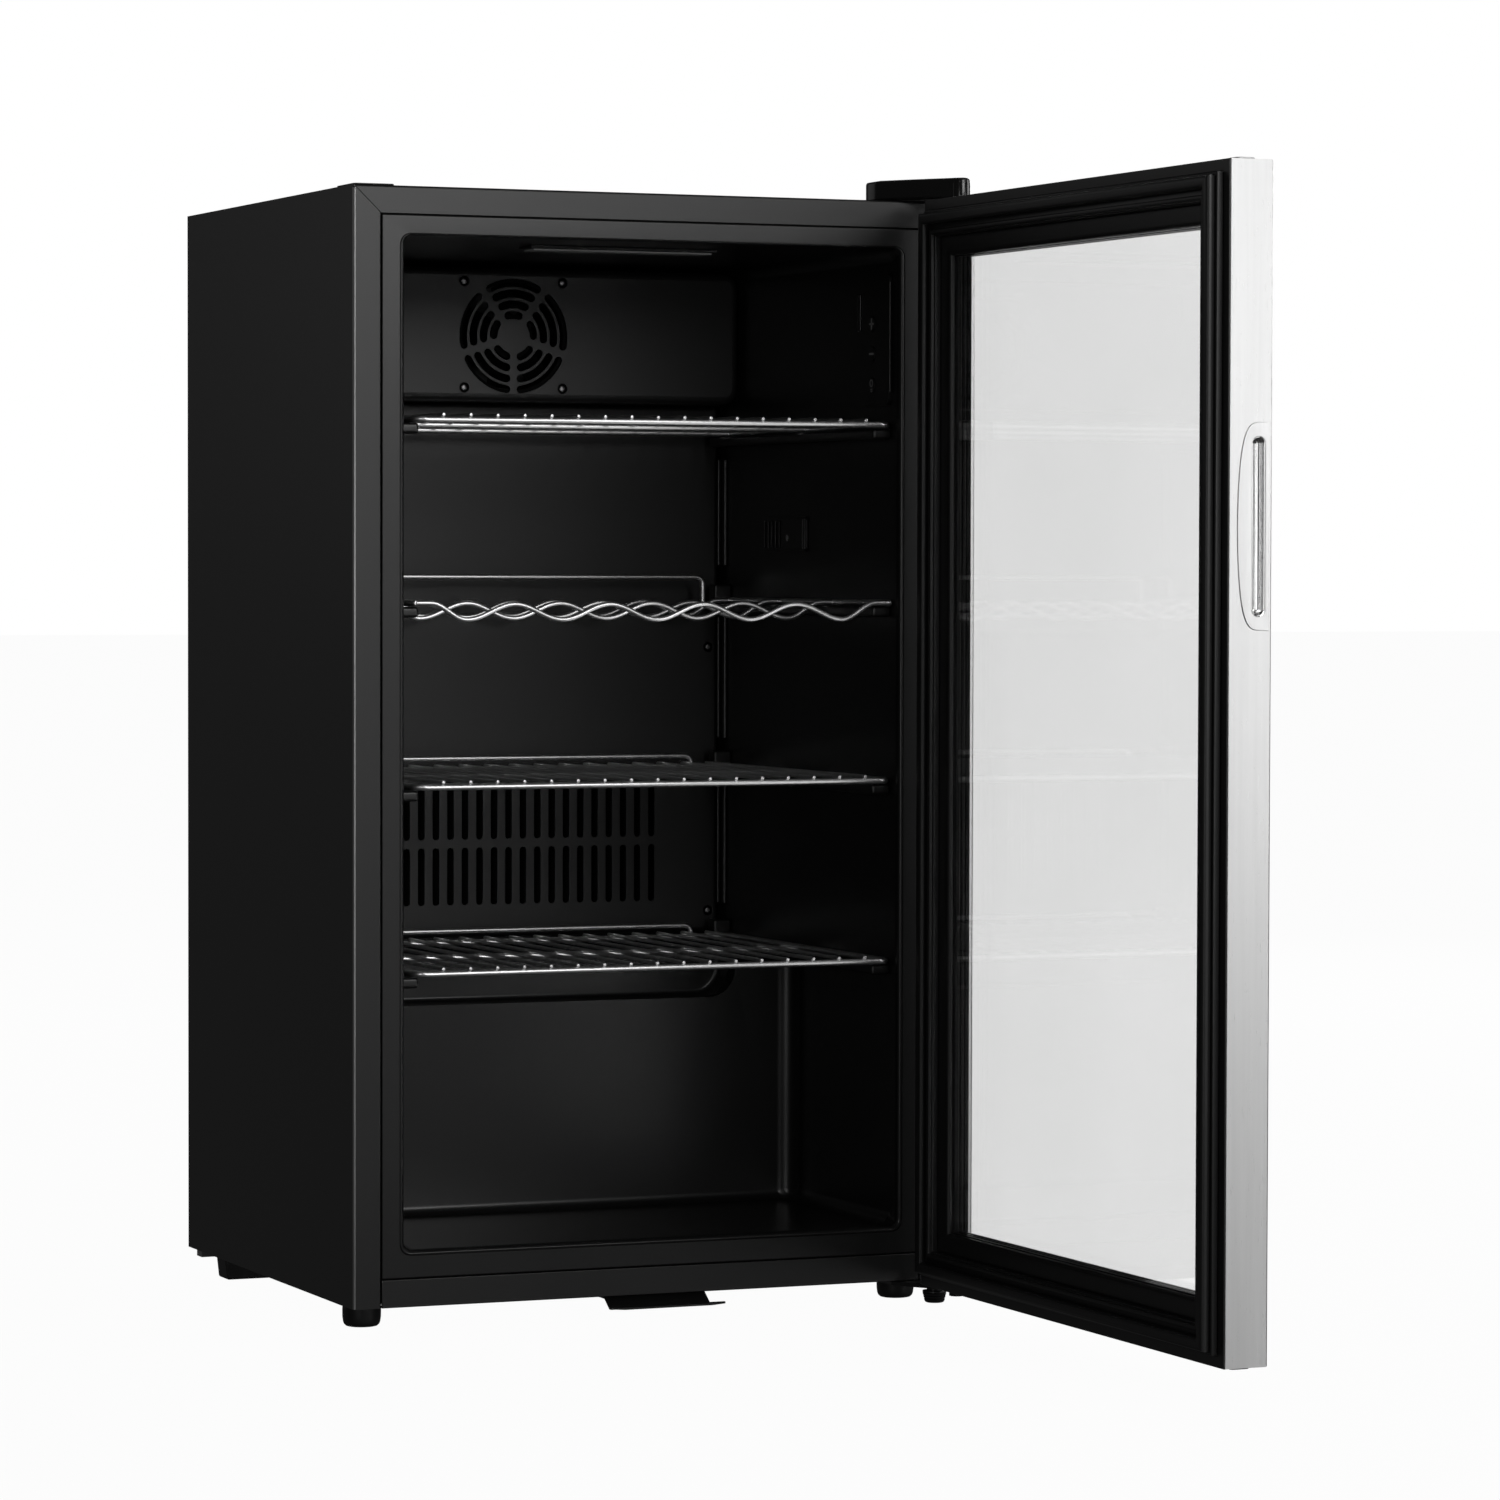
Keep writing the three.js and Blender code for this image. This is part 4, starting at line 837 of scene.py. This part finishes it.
# ---- shelves
SHELF_HALF = 194.3
SHELF_FRONT = 7.5
SHELF_REAR = 325.0
SHELF_SHIFT = 4.2
ROD_HALF = SHELF_HALF - FRAME_WIRE
ROD_FRONT = SHELF_FRONT + FRAME_WIRE
ROD_REAR = SHELF_REAR - FRAME_WIRE
WIRE_COUNT = 17
WIRE_PITCH = 21.4
WELD = 0.6  # how far crossing wires sink into each other
GUARD_WIRE = 2.0  # radius
WAVE_WIRE = 2.0  # radius
WAVE_PITCH = 76.2
WAVE_HEIGHT = 5.75
WAVE_DROP = 6.65  # from the side rods down to the waves' middle
WAVE_RISE = 28.0  # length of the rise at each end


def guard_run(z, top, half):
    """The raised wire at a shelf's rear."""
    x0, x1 = SHELF_SHIFT - half, SHELF_SHIFT + half
    corners = [(x0, z), (x0, top), (x1, top), (x1, z)]
    return bent([(x, ROD_REAR, level) for x, level in corners], 7.0), GUARD_WIRE


def flat_shelf(name, z):
    """A closed frame rod, a rod across its middle, and wires from front to rear."""
    x0, x1 = SHELF_SHIFT - ROD_HALF, SHELF_SHIFT + ROD_HALF
    near, far = 8, 4
    outline = (arc(x1 - near, ROD_FRONT + near, near, 270, 360, 8)
               + arc(x1 - far, ROD_REAR - far, far, 0, 90, 5)
               + arc(x0 + far, ROD_REAR - far, far, 90, 180, 5)
               + arc(x0 + near, ROD_FRONT + near, near, 180, 270, 8))
    runs = [([(x, y, z) for x, y in outline], FRAME_WIRE, True),
            ([(x0, 166, z), (x1, 166, z)], FRAME_WIRE)]
    height = z + FRAME_WIRE + CROSS_WIRE - WELD
    for i in range(WIRE_COUNT):
        x = SHELF_SHIFT + (i - WIRE_COUNT // 2) * WIRE_PITCH
        runs.append(([(x, SHELF_FRONT + 0.3, height), (x, SHELF_REAR - 0.8, height)], CROSS_WIRE))
    runs.append(guard_run(z, z + 9.5, 157))
    settle(wires(f"{name}_wires", runs, chrome), name, [name])


def wave_height(x):
    """Height of the bottle shelf's wires: waves, then a rise to the side rods."""
    rods = SHELF_LEVELS["wine_shelf"]
    middle = rods - WAVE_DROP
    last = 2 * WAVE_PITCH
    level = last + WAVE_RISE
    reach = abs(x)
    if reach <= last:
        return middle - WAVE_HEIGHT * math.cos(2 * math.pi * x / WAVE_PITCH)
    if reach >= level:
        return rods
    low = middle - WAVE_HEIGHT
    share = (1 - math.cos(math.pi * (reach - last) / (level - last))) / 2
    return low + (rods - low) * share


def wine_shelf():
    z = SHELF_LEVELS["wine_shelf"]
    runs = []
    for side in (-1, 1):
        x = SHELF_SHIFT + side * ROD_HALF
        runs.append(([(x, ROD_FRONT, z), (x, ROD_REAR, z)], FRAME_WIRE))
    steps = 120
    for i in range(4):
        y = ROD_FRONT + (ROD_REAR - ROD_FRONT) * i / 3
        xs = [ROD_HALF * (2 * k / steps - 1) for k in range(steps + 1)]
        runs.append(([(SHELF_SHIFT + x, y, wave_height(x)) for x in xs], WAVE_WIRE))
    runs.append(guard_run(wave_height(167), z + 19, 167))
    made = wires("wine_shelf_wires", runs, chrome)
    settle(made, "wine_shelf", ["wine_shelf"])


for shelf_name, shelf_level in SHELF_LEVELS.items():
    if shelf_name != "wine_shelf":
        flat_shelf(shelf_name, shelf_level)
wine_shelf()

# ---- door
DOOR_HALF = WIDTH / 2
DOOR_BOTTOM = 0.7
DOOR_TOP = 825.5
DOOR_REAR = -12.2
DOOR_FRONT = DOOR_REAR - 34.5
SKIN = 1.2
FACE = 27.0
PIN_X = PIN.x / MM
PIN_Y = (PIN.y - shell_low.y) / MM
BORE = 6.4  # radius
SLOT_Y = (DOOR_REAR - 28.5, DOOR_REAR - 18.5)
SLOT_Z = (514.7, 637.0)
SLOT_CORNER = 4.9
HANDLE_Z = (505.0, 647.0)
HANDLE_Y = (DOOR_REAR - 31.5, DOOR_REAR - 7.4)


def door_moulding(name, profile, finish, smooth=SMOOTH):
    return mitred(name, profile, DOOR_HALF, DOOR_BOTTOM, DOOR_TOP, finish, DOOR, smooth=smooth)


def bush_tools():
    """The bores of the hinge bushes in the door's top and bottom edges."""
    return [lathe("bore", [(0, low), (BORE, low), (BORE, high), (0, high)], (PIN_X, PIN_Y, 0),
                  stainless, DOOR, steps=32)
            for low, high in ((DOOR_TOP - 16, DOOR_TOP + 2), (DOOR_BOTTOM - 2, DOOR_BOTTOM + 16))]


def slot_outline(grow, steps=8, corner=SLOT_CORNER):
    """The handle slot's outline in y and z, grown on all sides."""
    return rounded((SLOT_Y[0] - grow, SLOT_Y[1] + grow), (SLOT_Z[0] - grow, SLOT_Z[1] + grow),
                   corner + grow, steps)


def slot_tool(grow, reach):
    """The handle slot as a solid, to a depth inside the door's side."""
    loops = [[(x, y, z) for y, z in slot_outline(grow)]
             for x in (-DOOR_HALF - 3, reach - DOOR_HALF)]
    return loft("slot", loops, stainless, DOOR)


def door_skin():
    """Stainless face and sides of the door."""
    r, rear = 1.6, DOOR_REAR - 1.4
    lip = DOOR_REAR - 25.4
    profile = [(0.25, rear), (0, rear - 0.25)]
    profile += [(r + u, DOOR_FRONT + r + v) for u, v in arc(0, 0, r, 180, 270, 6)]
    profile += [(FACE - r + u, DOOR_FRONT + r + v) for u, v in arc(0, 0, r, 270, 360, 6)]
    profile += [(FACE, lip), (FACE - SKIN, lip), (FACE - SKIN, DOOR_FRONT + SKIN),
                (SKIN, DOOR_FRONT + SKIN), (SKIN, rear)]
    skin = door_moulding("door_skin", profile, stainless)
    carve(skin, bush_tools() + [slot_tool(1.6, 4)])
    settle(skin, "door", ["door_outer_frame"])


def door_liner():
    """Black frame on the inside of the door."""
    y = DOOR_REAR
    profile = [(0, y - 1.1), (0, y - 0.5), (0.15, y - 0.15), (0.5, y), (7.6, y), (8.0, y - 0.4),
               (8.3, y - 0.4), (29.4, y - 0.4), (29.8, y), (40, y), (41.5, y - 0.3),
               (42.8, y - 1.0), (43.7, y - 2.1), (44, y - 3.4), (44, y - 4.3), (24.6, y - 4.3),
               (24.6, y - 27), (5, y - 27), (5, y - 4.3), (1.5, y - 4.3), (1.5, y - 1.1)]
    made = door_moulding("door_liner", profile, frame_plastic)
    carve(made, bush_tools() + [slot_tool(2.0, 16)])
    settle(made, "door", ["door_inner_frame"])


def gasket():
    """Magnetic seal: base, groove, broad bead, and a lip inside it."""
    shape = [(8.6, 0.3), (8.6, 4.0), (9.0, 4.9), (9.8, 5.2), (10.5, 4.9), (10.9, 4.2),
             (11.3, 4.2), (11.4, 5.4), (10.9, 7.0), (10.8, 8.6), (11.3, 10.2), (12.4, 11.3),
             (13.8, 11.6), (17.0, 11.6), (18.6, 11.2), (19.6, 10.0), (20.0, 8.2), (19.6, 6.2),
             (18.9, 4.9), (19.8, 4.3), (21.5, 4.6), (23.3, 5.0), (23.6, 6.8), (24.3, 7.6),
             (25.5, 7.8), (26.8, 7.6), (27.4, 6.8), (27.6, 5.2), (28.5, 5.0), (29.0, 4.3),
             (29.0, 0.3)]
    profile = [(m, DOOR_REAR + h) for m, h in shape]
    made = door_moulding("door_seal", profile, seal_rubber, smooth=60)
    settle(made, "door", ["door_gasket"])


def spacer():
    """Metal bar between the panes, with two grooves along its inner face."""
    y0, y1 = DOOR_REAR - 20.8, DOOR_REAR - 8.8
    inner = 44.4
    profile = [(37, y0), (inner - 0.6, y0), (inner, y0 + 0.7), (inner, y0 + 3.2),
               (inner - 0.7, y0 + 3.7), (inner - 0.7, y0 + 4.6), (inner, y0 + 5.1),
               (inner, y1 - 5.1), (inner - 0.7, y1 - 4.6), (inner - 0.7, y1 - 3.7),
               (inner, y1 - 3.2), (inner, y1 - 0.7), (inner - 0.6, y1), (37, y1)]
    made = door_moulding("pane_spacer", profile, spacer_metal, smooth=50)
    settle(made, "door", ["glass_spacer"])


def handle():
    """D-shaped rim round a deep slot with a rolled chrome lip."""
    face = -DOOR_HALF
    middle = (HANDLE_Z[0] + HANDLE_Z[1]) / 2
    half = (HANDLE_Z[1] - HANDLE_Z[0]) / 2
    bulge = HANDLE_Y[1] - HANDLE_Y[0]
    outline = []
    steps = 48
    for i in range(steps + 1):
        a = math.pi * i / steps
        outline.append((HANDLE_Y[0] + bulge * math.sin(a) ** 0.38, middle - half * math.cos(a)))
    hole = slot_outline(0.2, corner=4.8)
    rim = plate("handle_rim", outline, [hole], (face - 0.8, face - 0.1), stainless, DOOR,
                edge=0.3, turn="side")
    settle(rim, "door", ["handle_cup"])

    def loop(x, grow):
        return [(x, y, z) for y, z in slot_outline(grow, 10)]

    deep = face + 12.8
    loops = [loop(face + 0.4, 0.15), loop(face - 0.6, 0.15), loop(face - 0.78, 0.0),
             loop(face - 0.78, -0.5), loop(face - 0.5, -1.0), loop(face + 0.4, -1.3),
             loop(face + 3, -1.5), loop(deep - 3, -1.5), loop(deep - 1.2, -1.9),
             loop(deep - 0.3, -2.8), loop(deep, -3.6), loop(deep, -4.7), loop(deep + 1.0, -4.7),
             loop(deep + 1.0, 1.0), loop(face + 0.9, 1.0), loop(face + 0.4, 0.9)]
    cup = loft("handle_pocket", loops, polished, DOOR, close=True, smooth=60)
    floor = plate("handle_floor", slot_outline(-4.6), [], (deep, deep + 1.0), polished, DOOR,
                  edge=0.05, turn="side")
    settle(joined("handle_pocket", [cup, floor]), "door")


door_skin()
door_liner()
gasket()
spacer()
handle()
refined("door_top_cap", ["door_top_plug"], stainless, "door", 0.35)
refined("door_bottom_cap", ["door_bottom_plug"], foot_plastic, "door", 0.35)

# ---- hinges
HINGE_END = 7.1
TOP_HINGE = (188.0, 14.0, 40.0)


def hinge_outline(left, front, rear, inset):
    end = HINGE_END - inset
    corner = 3.0
    points = arc(PIN_X, PIN_Y, end, 227, 360, 20)
    points += arc(PIN_X + end - corner, rear - inset - corner, corner, 0, 90, 6)
    points += arc(left + inset + corner, rear - inset - corner, corner, 90, 180, 6)
    points += [(left + inset, front + inset * 0.6)]
    return points


def top_hinge():
    low = HEIGHT + 0.3
    top = HEIGHT + 16
    body = plate("hinge_cover", hinge_outline(*TOP_HINGE, 0.0), [], (low, top), gloss_plastic,
                 edge=2.2, turn="top")
    settle(body, "cabinet", ["top_hinge_cover"])
    boss = lathe("hinge_cover_boss", [(0, low), (HINGE_END, low), (HINGE_END + 0.25, low + 0.6),
                                      (HINGE_END + 0.25, top - 4.2), (HINGE_END - 0.6, top - 2.4),
                                      (HINGE_END - 2.6, top - 0.8), (HINGE_END - 4, top - 0.25),
                                      (0, top - 0.2)],
                 (PIN_X, PIN_Y, 0), gloss_plastic)
    settle(boss)


top_hinge()
refined("top_hinge_plate", ["top_hinge_bracket"], zinc_steel, "cabinet", 0)
refined("lower_hinge_arm", ["bottom_hinge_bracket"], case_paint, "cabinet", 0.5)
refined("catch_bracket", ["catch_plate"], case_paint, "cabinet", 0.35)
refined("rear_foot_left", ["rear_left_foot"], foot_plastic, "cabinet", 1.5)
refined("rear_foot_right", ["rear_right_foot"], foot_plastic, "cabinet", 1.5)


def turned_feet():
    for label in ("left", "right"):
        node = f"front_{label}_foot"
        (x0, x1), (y0, y1), (z0, z1) = span(node)
        profile = [(0, z0), (10.6, z0), (11.8, z0 + 0.3), (13.2, z0 + 1.6), (13.9, z0 + 3.4),
                   (14.4, z0 + 7), (14.5, z0 + 12), (14.4, -3.4), (13.8, -2.2), (12.8, -1.6),
                   (4, -1.5), (4, z1 - 0.6), (3.4, z1), (0, z1)]
        foot = lathe(f"{node}_pad", profile, ((x0 + x1) / 2, (y0 + y1) / 2, 0), foot_plastic)
        settle(foot, node, [node])
    (x0, x1), (y0, y1), (z0, z1) = span("hinge_support_foot")
    profile = [(0, z0), (6.2, z0), (7.2, z0 + 0.5), (7.8, z0 + 1.6), (8.1, z0 + 2.8),
               (7.6, z0 + 3.2), (8.2, z0 + 3.6), (8.6, z0 + 5.0), (8.1, z0 + 5.4), (8.8, z0 + 5.8),
               (9.2, -9.3), (8.7, -8.9), (9.3, -8.5), (9.2, -7.4), (6.2, -7), (6, -6.4), (6, z1),
               (0, z1)]
    foot = lathe("support_foot", profile, ((x0 + x1) / 2, (y0 + y1) / 2, 0), foot_plastic)
    settle(foot, "cabinet", ["hinge_support_foot"])


turned_feet()


# ---- back
LOUVRE_COUNT = 13
LOUVRE_PITCH = 26.0
LOUVRE = 3.0  # half width
LEAD_BUSH = (-200, 40)


def back_cover():
    (x0, x1), (y0, y1), (z0, z1) = span("compartment_cover")
    holes = []
    for z in ((70, 120), (134, 184)):
        for i in range(LOUVRE_COUNT):
            x = (i - LOUVRE_COUNT // 2) * LOUVRE_PITCH
            holes.append(stadium((x - LOUVRE, x + LOUVRE), z, 8))
    gland = arc(*LEAD_BUSH, 7.4, 0, 345, 23)
    made = plate("back_cover", rounded((x0, x1), (z0, z1), 1.5, 4), [*holes, gland], (y0, y1),
                 case_paint, edge=0.3)
    settle(made, "cabinet", ["compartment_cover"])


def back_screws():
    """Flat screw heads round the rear panel and the louvred cover."""
    rows = [(215, (-1, 0, 1)), (15, (-1, 1, 0)), (500, (-1, 1)), (815, (-1, 0, 1))]
    bm = bmesh.new()
    back = span("rear_panel")[1][1]
    for x, z in [(side * 228, height) for height, sides in rows for side in sides]:
        loops = [[(x + r * math.cos(a), back - h, z + r * math.sin(a))
                  for a in [2 * math.pi * k / 24 for k in range(24)]]
                 for r, h in [(3.6, 0.4), (3.6, -0.1), (3.2, -0.28)]]
        loft_into(bm, loops)
    settle(object_from("back_screws", bm, zinc_steel))


back_cover()
back_screws()
refined("lead_bush", ["cord_gland"], soft_rubber, "cabinet", 0)

# ---- CAD nodes that stay
KEPT = {
    "insulation_foam": foam, "evaporator": fin_metal, "fan_frame": rotor_plastic,
    "fan_rotor": rotor_plastic, "compartment_panel": zinc_steel, "compressor_plate": zinc_steel,
    "compressor": case_paint, "relay_box": dark_plastic, "discharge_pipe": copper,
    "suction_pipe": copper, "filter_drier": copper, "drip_tray": dark_plastic,
    "drain_hose": soft_rubber, "condenser_coil": copper, "outer_glass": glass,
    "inner_glass": glass, "top_hinge_bush": dark_plastic, "bottom_hinge_bush": dark_plastic,
    **{f"grommet_{n}": soft_rubber for n in (1, 2, 3, 4)},
}
for node, finish in KEPT.items():
    mesh = frame["nodes"][node].data
    mesh.materials.clear()
    mesh.materials.append(finish)


# ---- stage, light and camera
FLOOR_GLOW = 0.97
FLOOR_REACH = 40.0
BACKDROP = 1.0  # seen directly and straight through glass
AMBIENT = 0.045  # everything else
CAMERA_TURNS = (23.0545, -1.9004, 0.1354)  # yaw, pitch and roll in degrees
CAMERA_PLACE = (-1.54396, -4.01144, 0.54660)
LENS = 131.34
SENSOR = 36.0
CENTRE = (0, -0.2, 0.45)
REAR_CENTRE = (0, 0, 0.4)
CARD = (0.85, 0.95)
REAR_CARD = (2.2, 2.0)
SOFTBOXES = [  # name, place, aim, size, watts
    ("front", (0.75, -3.9, 1.6), CENTRE, (1.75, 0.95), 32),
    ("front_low", (0.3, -3.9, 0.6), CENTRE, CARD, 5.0),
    ("right_high", (2.1, -3.2, 2.6), CENTRE, CARD, 8.6),
    ("right_mid", (2.1, -3.2, 0.6), CENTRE, CARD, 6.3),
    ("right_low", (2.1, -3.2, -0.4), CENTRE, CARD, 2.4),
    ("left", (-2.4, -3.2, 0.6), CENTRE, CARD, 9.0),
    ("front_base", (1.2, -3.9, 0.1), CENTRE, (0.7, 0.4), 0.6),
    ("side_right", (3.8, -1.2, 1.5), CENTRE, (1.6, 1.6), 30),
    ("back_left", (-2.8, 2.8, 1.6), REAR_CENTRE, REAR_CARD, 3.8),
    ("back_right", (2.6, 2.6, 1.8), REAR_CENTRE, REAR_CARD, 44),
]


def studio_floor():
    """A plain pale floor, neither lighting the pieces nor showing in them."""
    mat = surface("studio_floor", grey(0.02), 0.95, grain=30, bump=0.0, mottle=0.01,
                  Specular_IOR_Level=0.0, Emission_Color=(1, 1, 1, 1),
                  Emission_Strength=FLOOR_GLOW)
    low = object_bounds()[0].z
    bm = bmesh.new()
    corners = [(x * FLOOR_REACH, y * FLOOR_REACH) for x, y in ((-1, -1), (1, -1), (1, 1), (-1, 1))]
    bm.faces.new([bm.verts.new((x, y, low - 0.001)) for x, y in corners])
    floor = object_from("studio_floor", bm, mat, Matrix.Identity(4))
    floor.visible_diffuse = False
    floor.visible_glossy = False
    floor.visible_shadow = False
    floor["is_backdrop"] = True


def softbox(name, place, aim, size, power):
    data = bpy.data.lights.new(name, "AREA")
    data.shape = "RECTANGLE"
    data.size, data.size_y = size
    data.energy = power
    lamp = add_object(name, data)
    lamp.location = place
    lamp.rotation_mode = "QUATERNION"
    lamp.rotation_quaternion = (Vector(aim) - Vector(place)).to_track_quat("-Z", "Y")
    lamp.visible_camera = False
    lamp.visible_transmission = False


def studio_world():
    """White where it is looked at, directly or straight through glass, and dim elsewhere."""
    world = bpy.data.worlds.new("studio_world")
    bpy.context.scene.world = world
    world.use_nodes = True
    tree = world.node_tree
    tree.nodes.clear()
    out = add_node(tree, "OutputWorld")
    mix = add_node(tree, "MixShader")
    seen = add_node(tree, "Background", Color=(1, 1, 1, 1), Strength=BACKDROP)
    dim = add_node(tree, "Background", Color=(1, 1, 1, 1), Strength=AMBIENT)
    path = add_node(tree, "LightPath")

    def combine(operation, first, second):
        node = add_node(tree, "Math")
        node.operation = operation
        for socket, value in zip(node.inputs, (first, second)):
            if isinstance(value, float):
                socket.default_value = value
            else:
                tree.links.new(value, socket)
        return node.outputs["Value"]

    bounces = combine("ADD", path.outputs["Diffuse Depth"], path.outputs["Glossy Depth"])
    straight = combine("LESS_THAN", bounces, 0.5)
    through = combine("MULTIPLY", path.outputs["Is Transmission Ray"], straight)
    bright = combine("MAXIMUM", path.outputs["Is Camera Ray"], through)
    tree.links.new(bright, mix.inputs["Fac"])
    tree.links.new(dim.outputs["Background"], mix.inputs[1])
    tree.links.new(seen.outputs["Background"], mix.inputs[2])
    tree.links.new(mix.outputs["Shader"], out.inputs["Surface"])


def camera():
    yaw, pitch, roll = (math.radians(a) for a in CAMERA_TURNS)
    forward = Vector((math.sin(yaw) * math.cos(pitch), math.cos(yaw) * math.cos(pitch),
                      math.sin(pitch)))
    level = Vector((math.cos(yaw), -math.sin(yaw), 0))
    upright = level.cross(forward)
    right = level * math.cos(roll) + upright * math.sin(roll)
    up = upright * math.cos(roll) - level * math.sin(roll)
    data = bpy.data.cameras.new("camera")
    data.sensor_width = SENSOR
    data.lens = LENS
    data.clip_end = 200
    made = add_object("camera", data)
    turn = Matrix((right, up, -forward)).transposed()
    made.matrix_world = Matrix.Translation(CAMERA_PLACE) @ turn.to_4x4()
    bpy.context.scene.camera = made


studio_world()
studio_floor()
for softbox_row in SOFTBOXES:
    softbox(*softbox_row)
bpy.context.scene.view_settings.view_transform = "Standard"
camera()
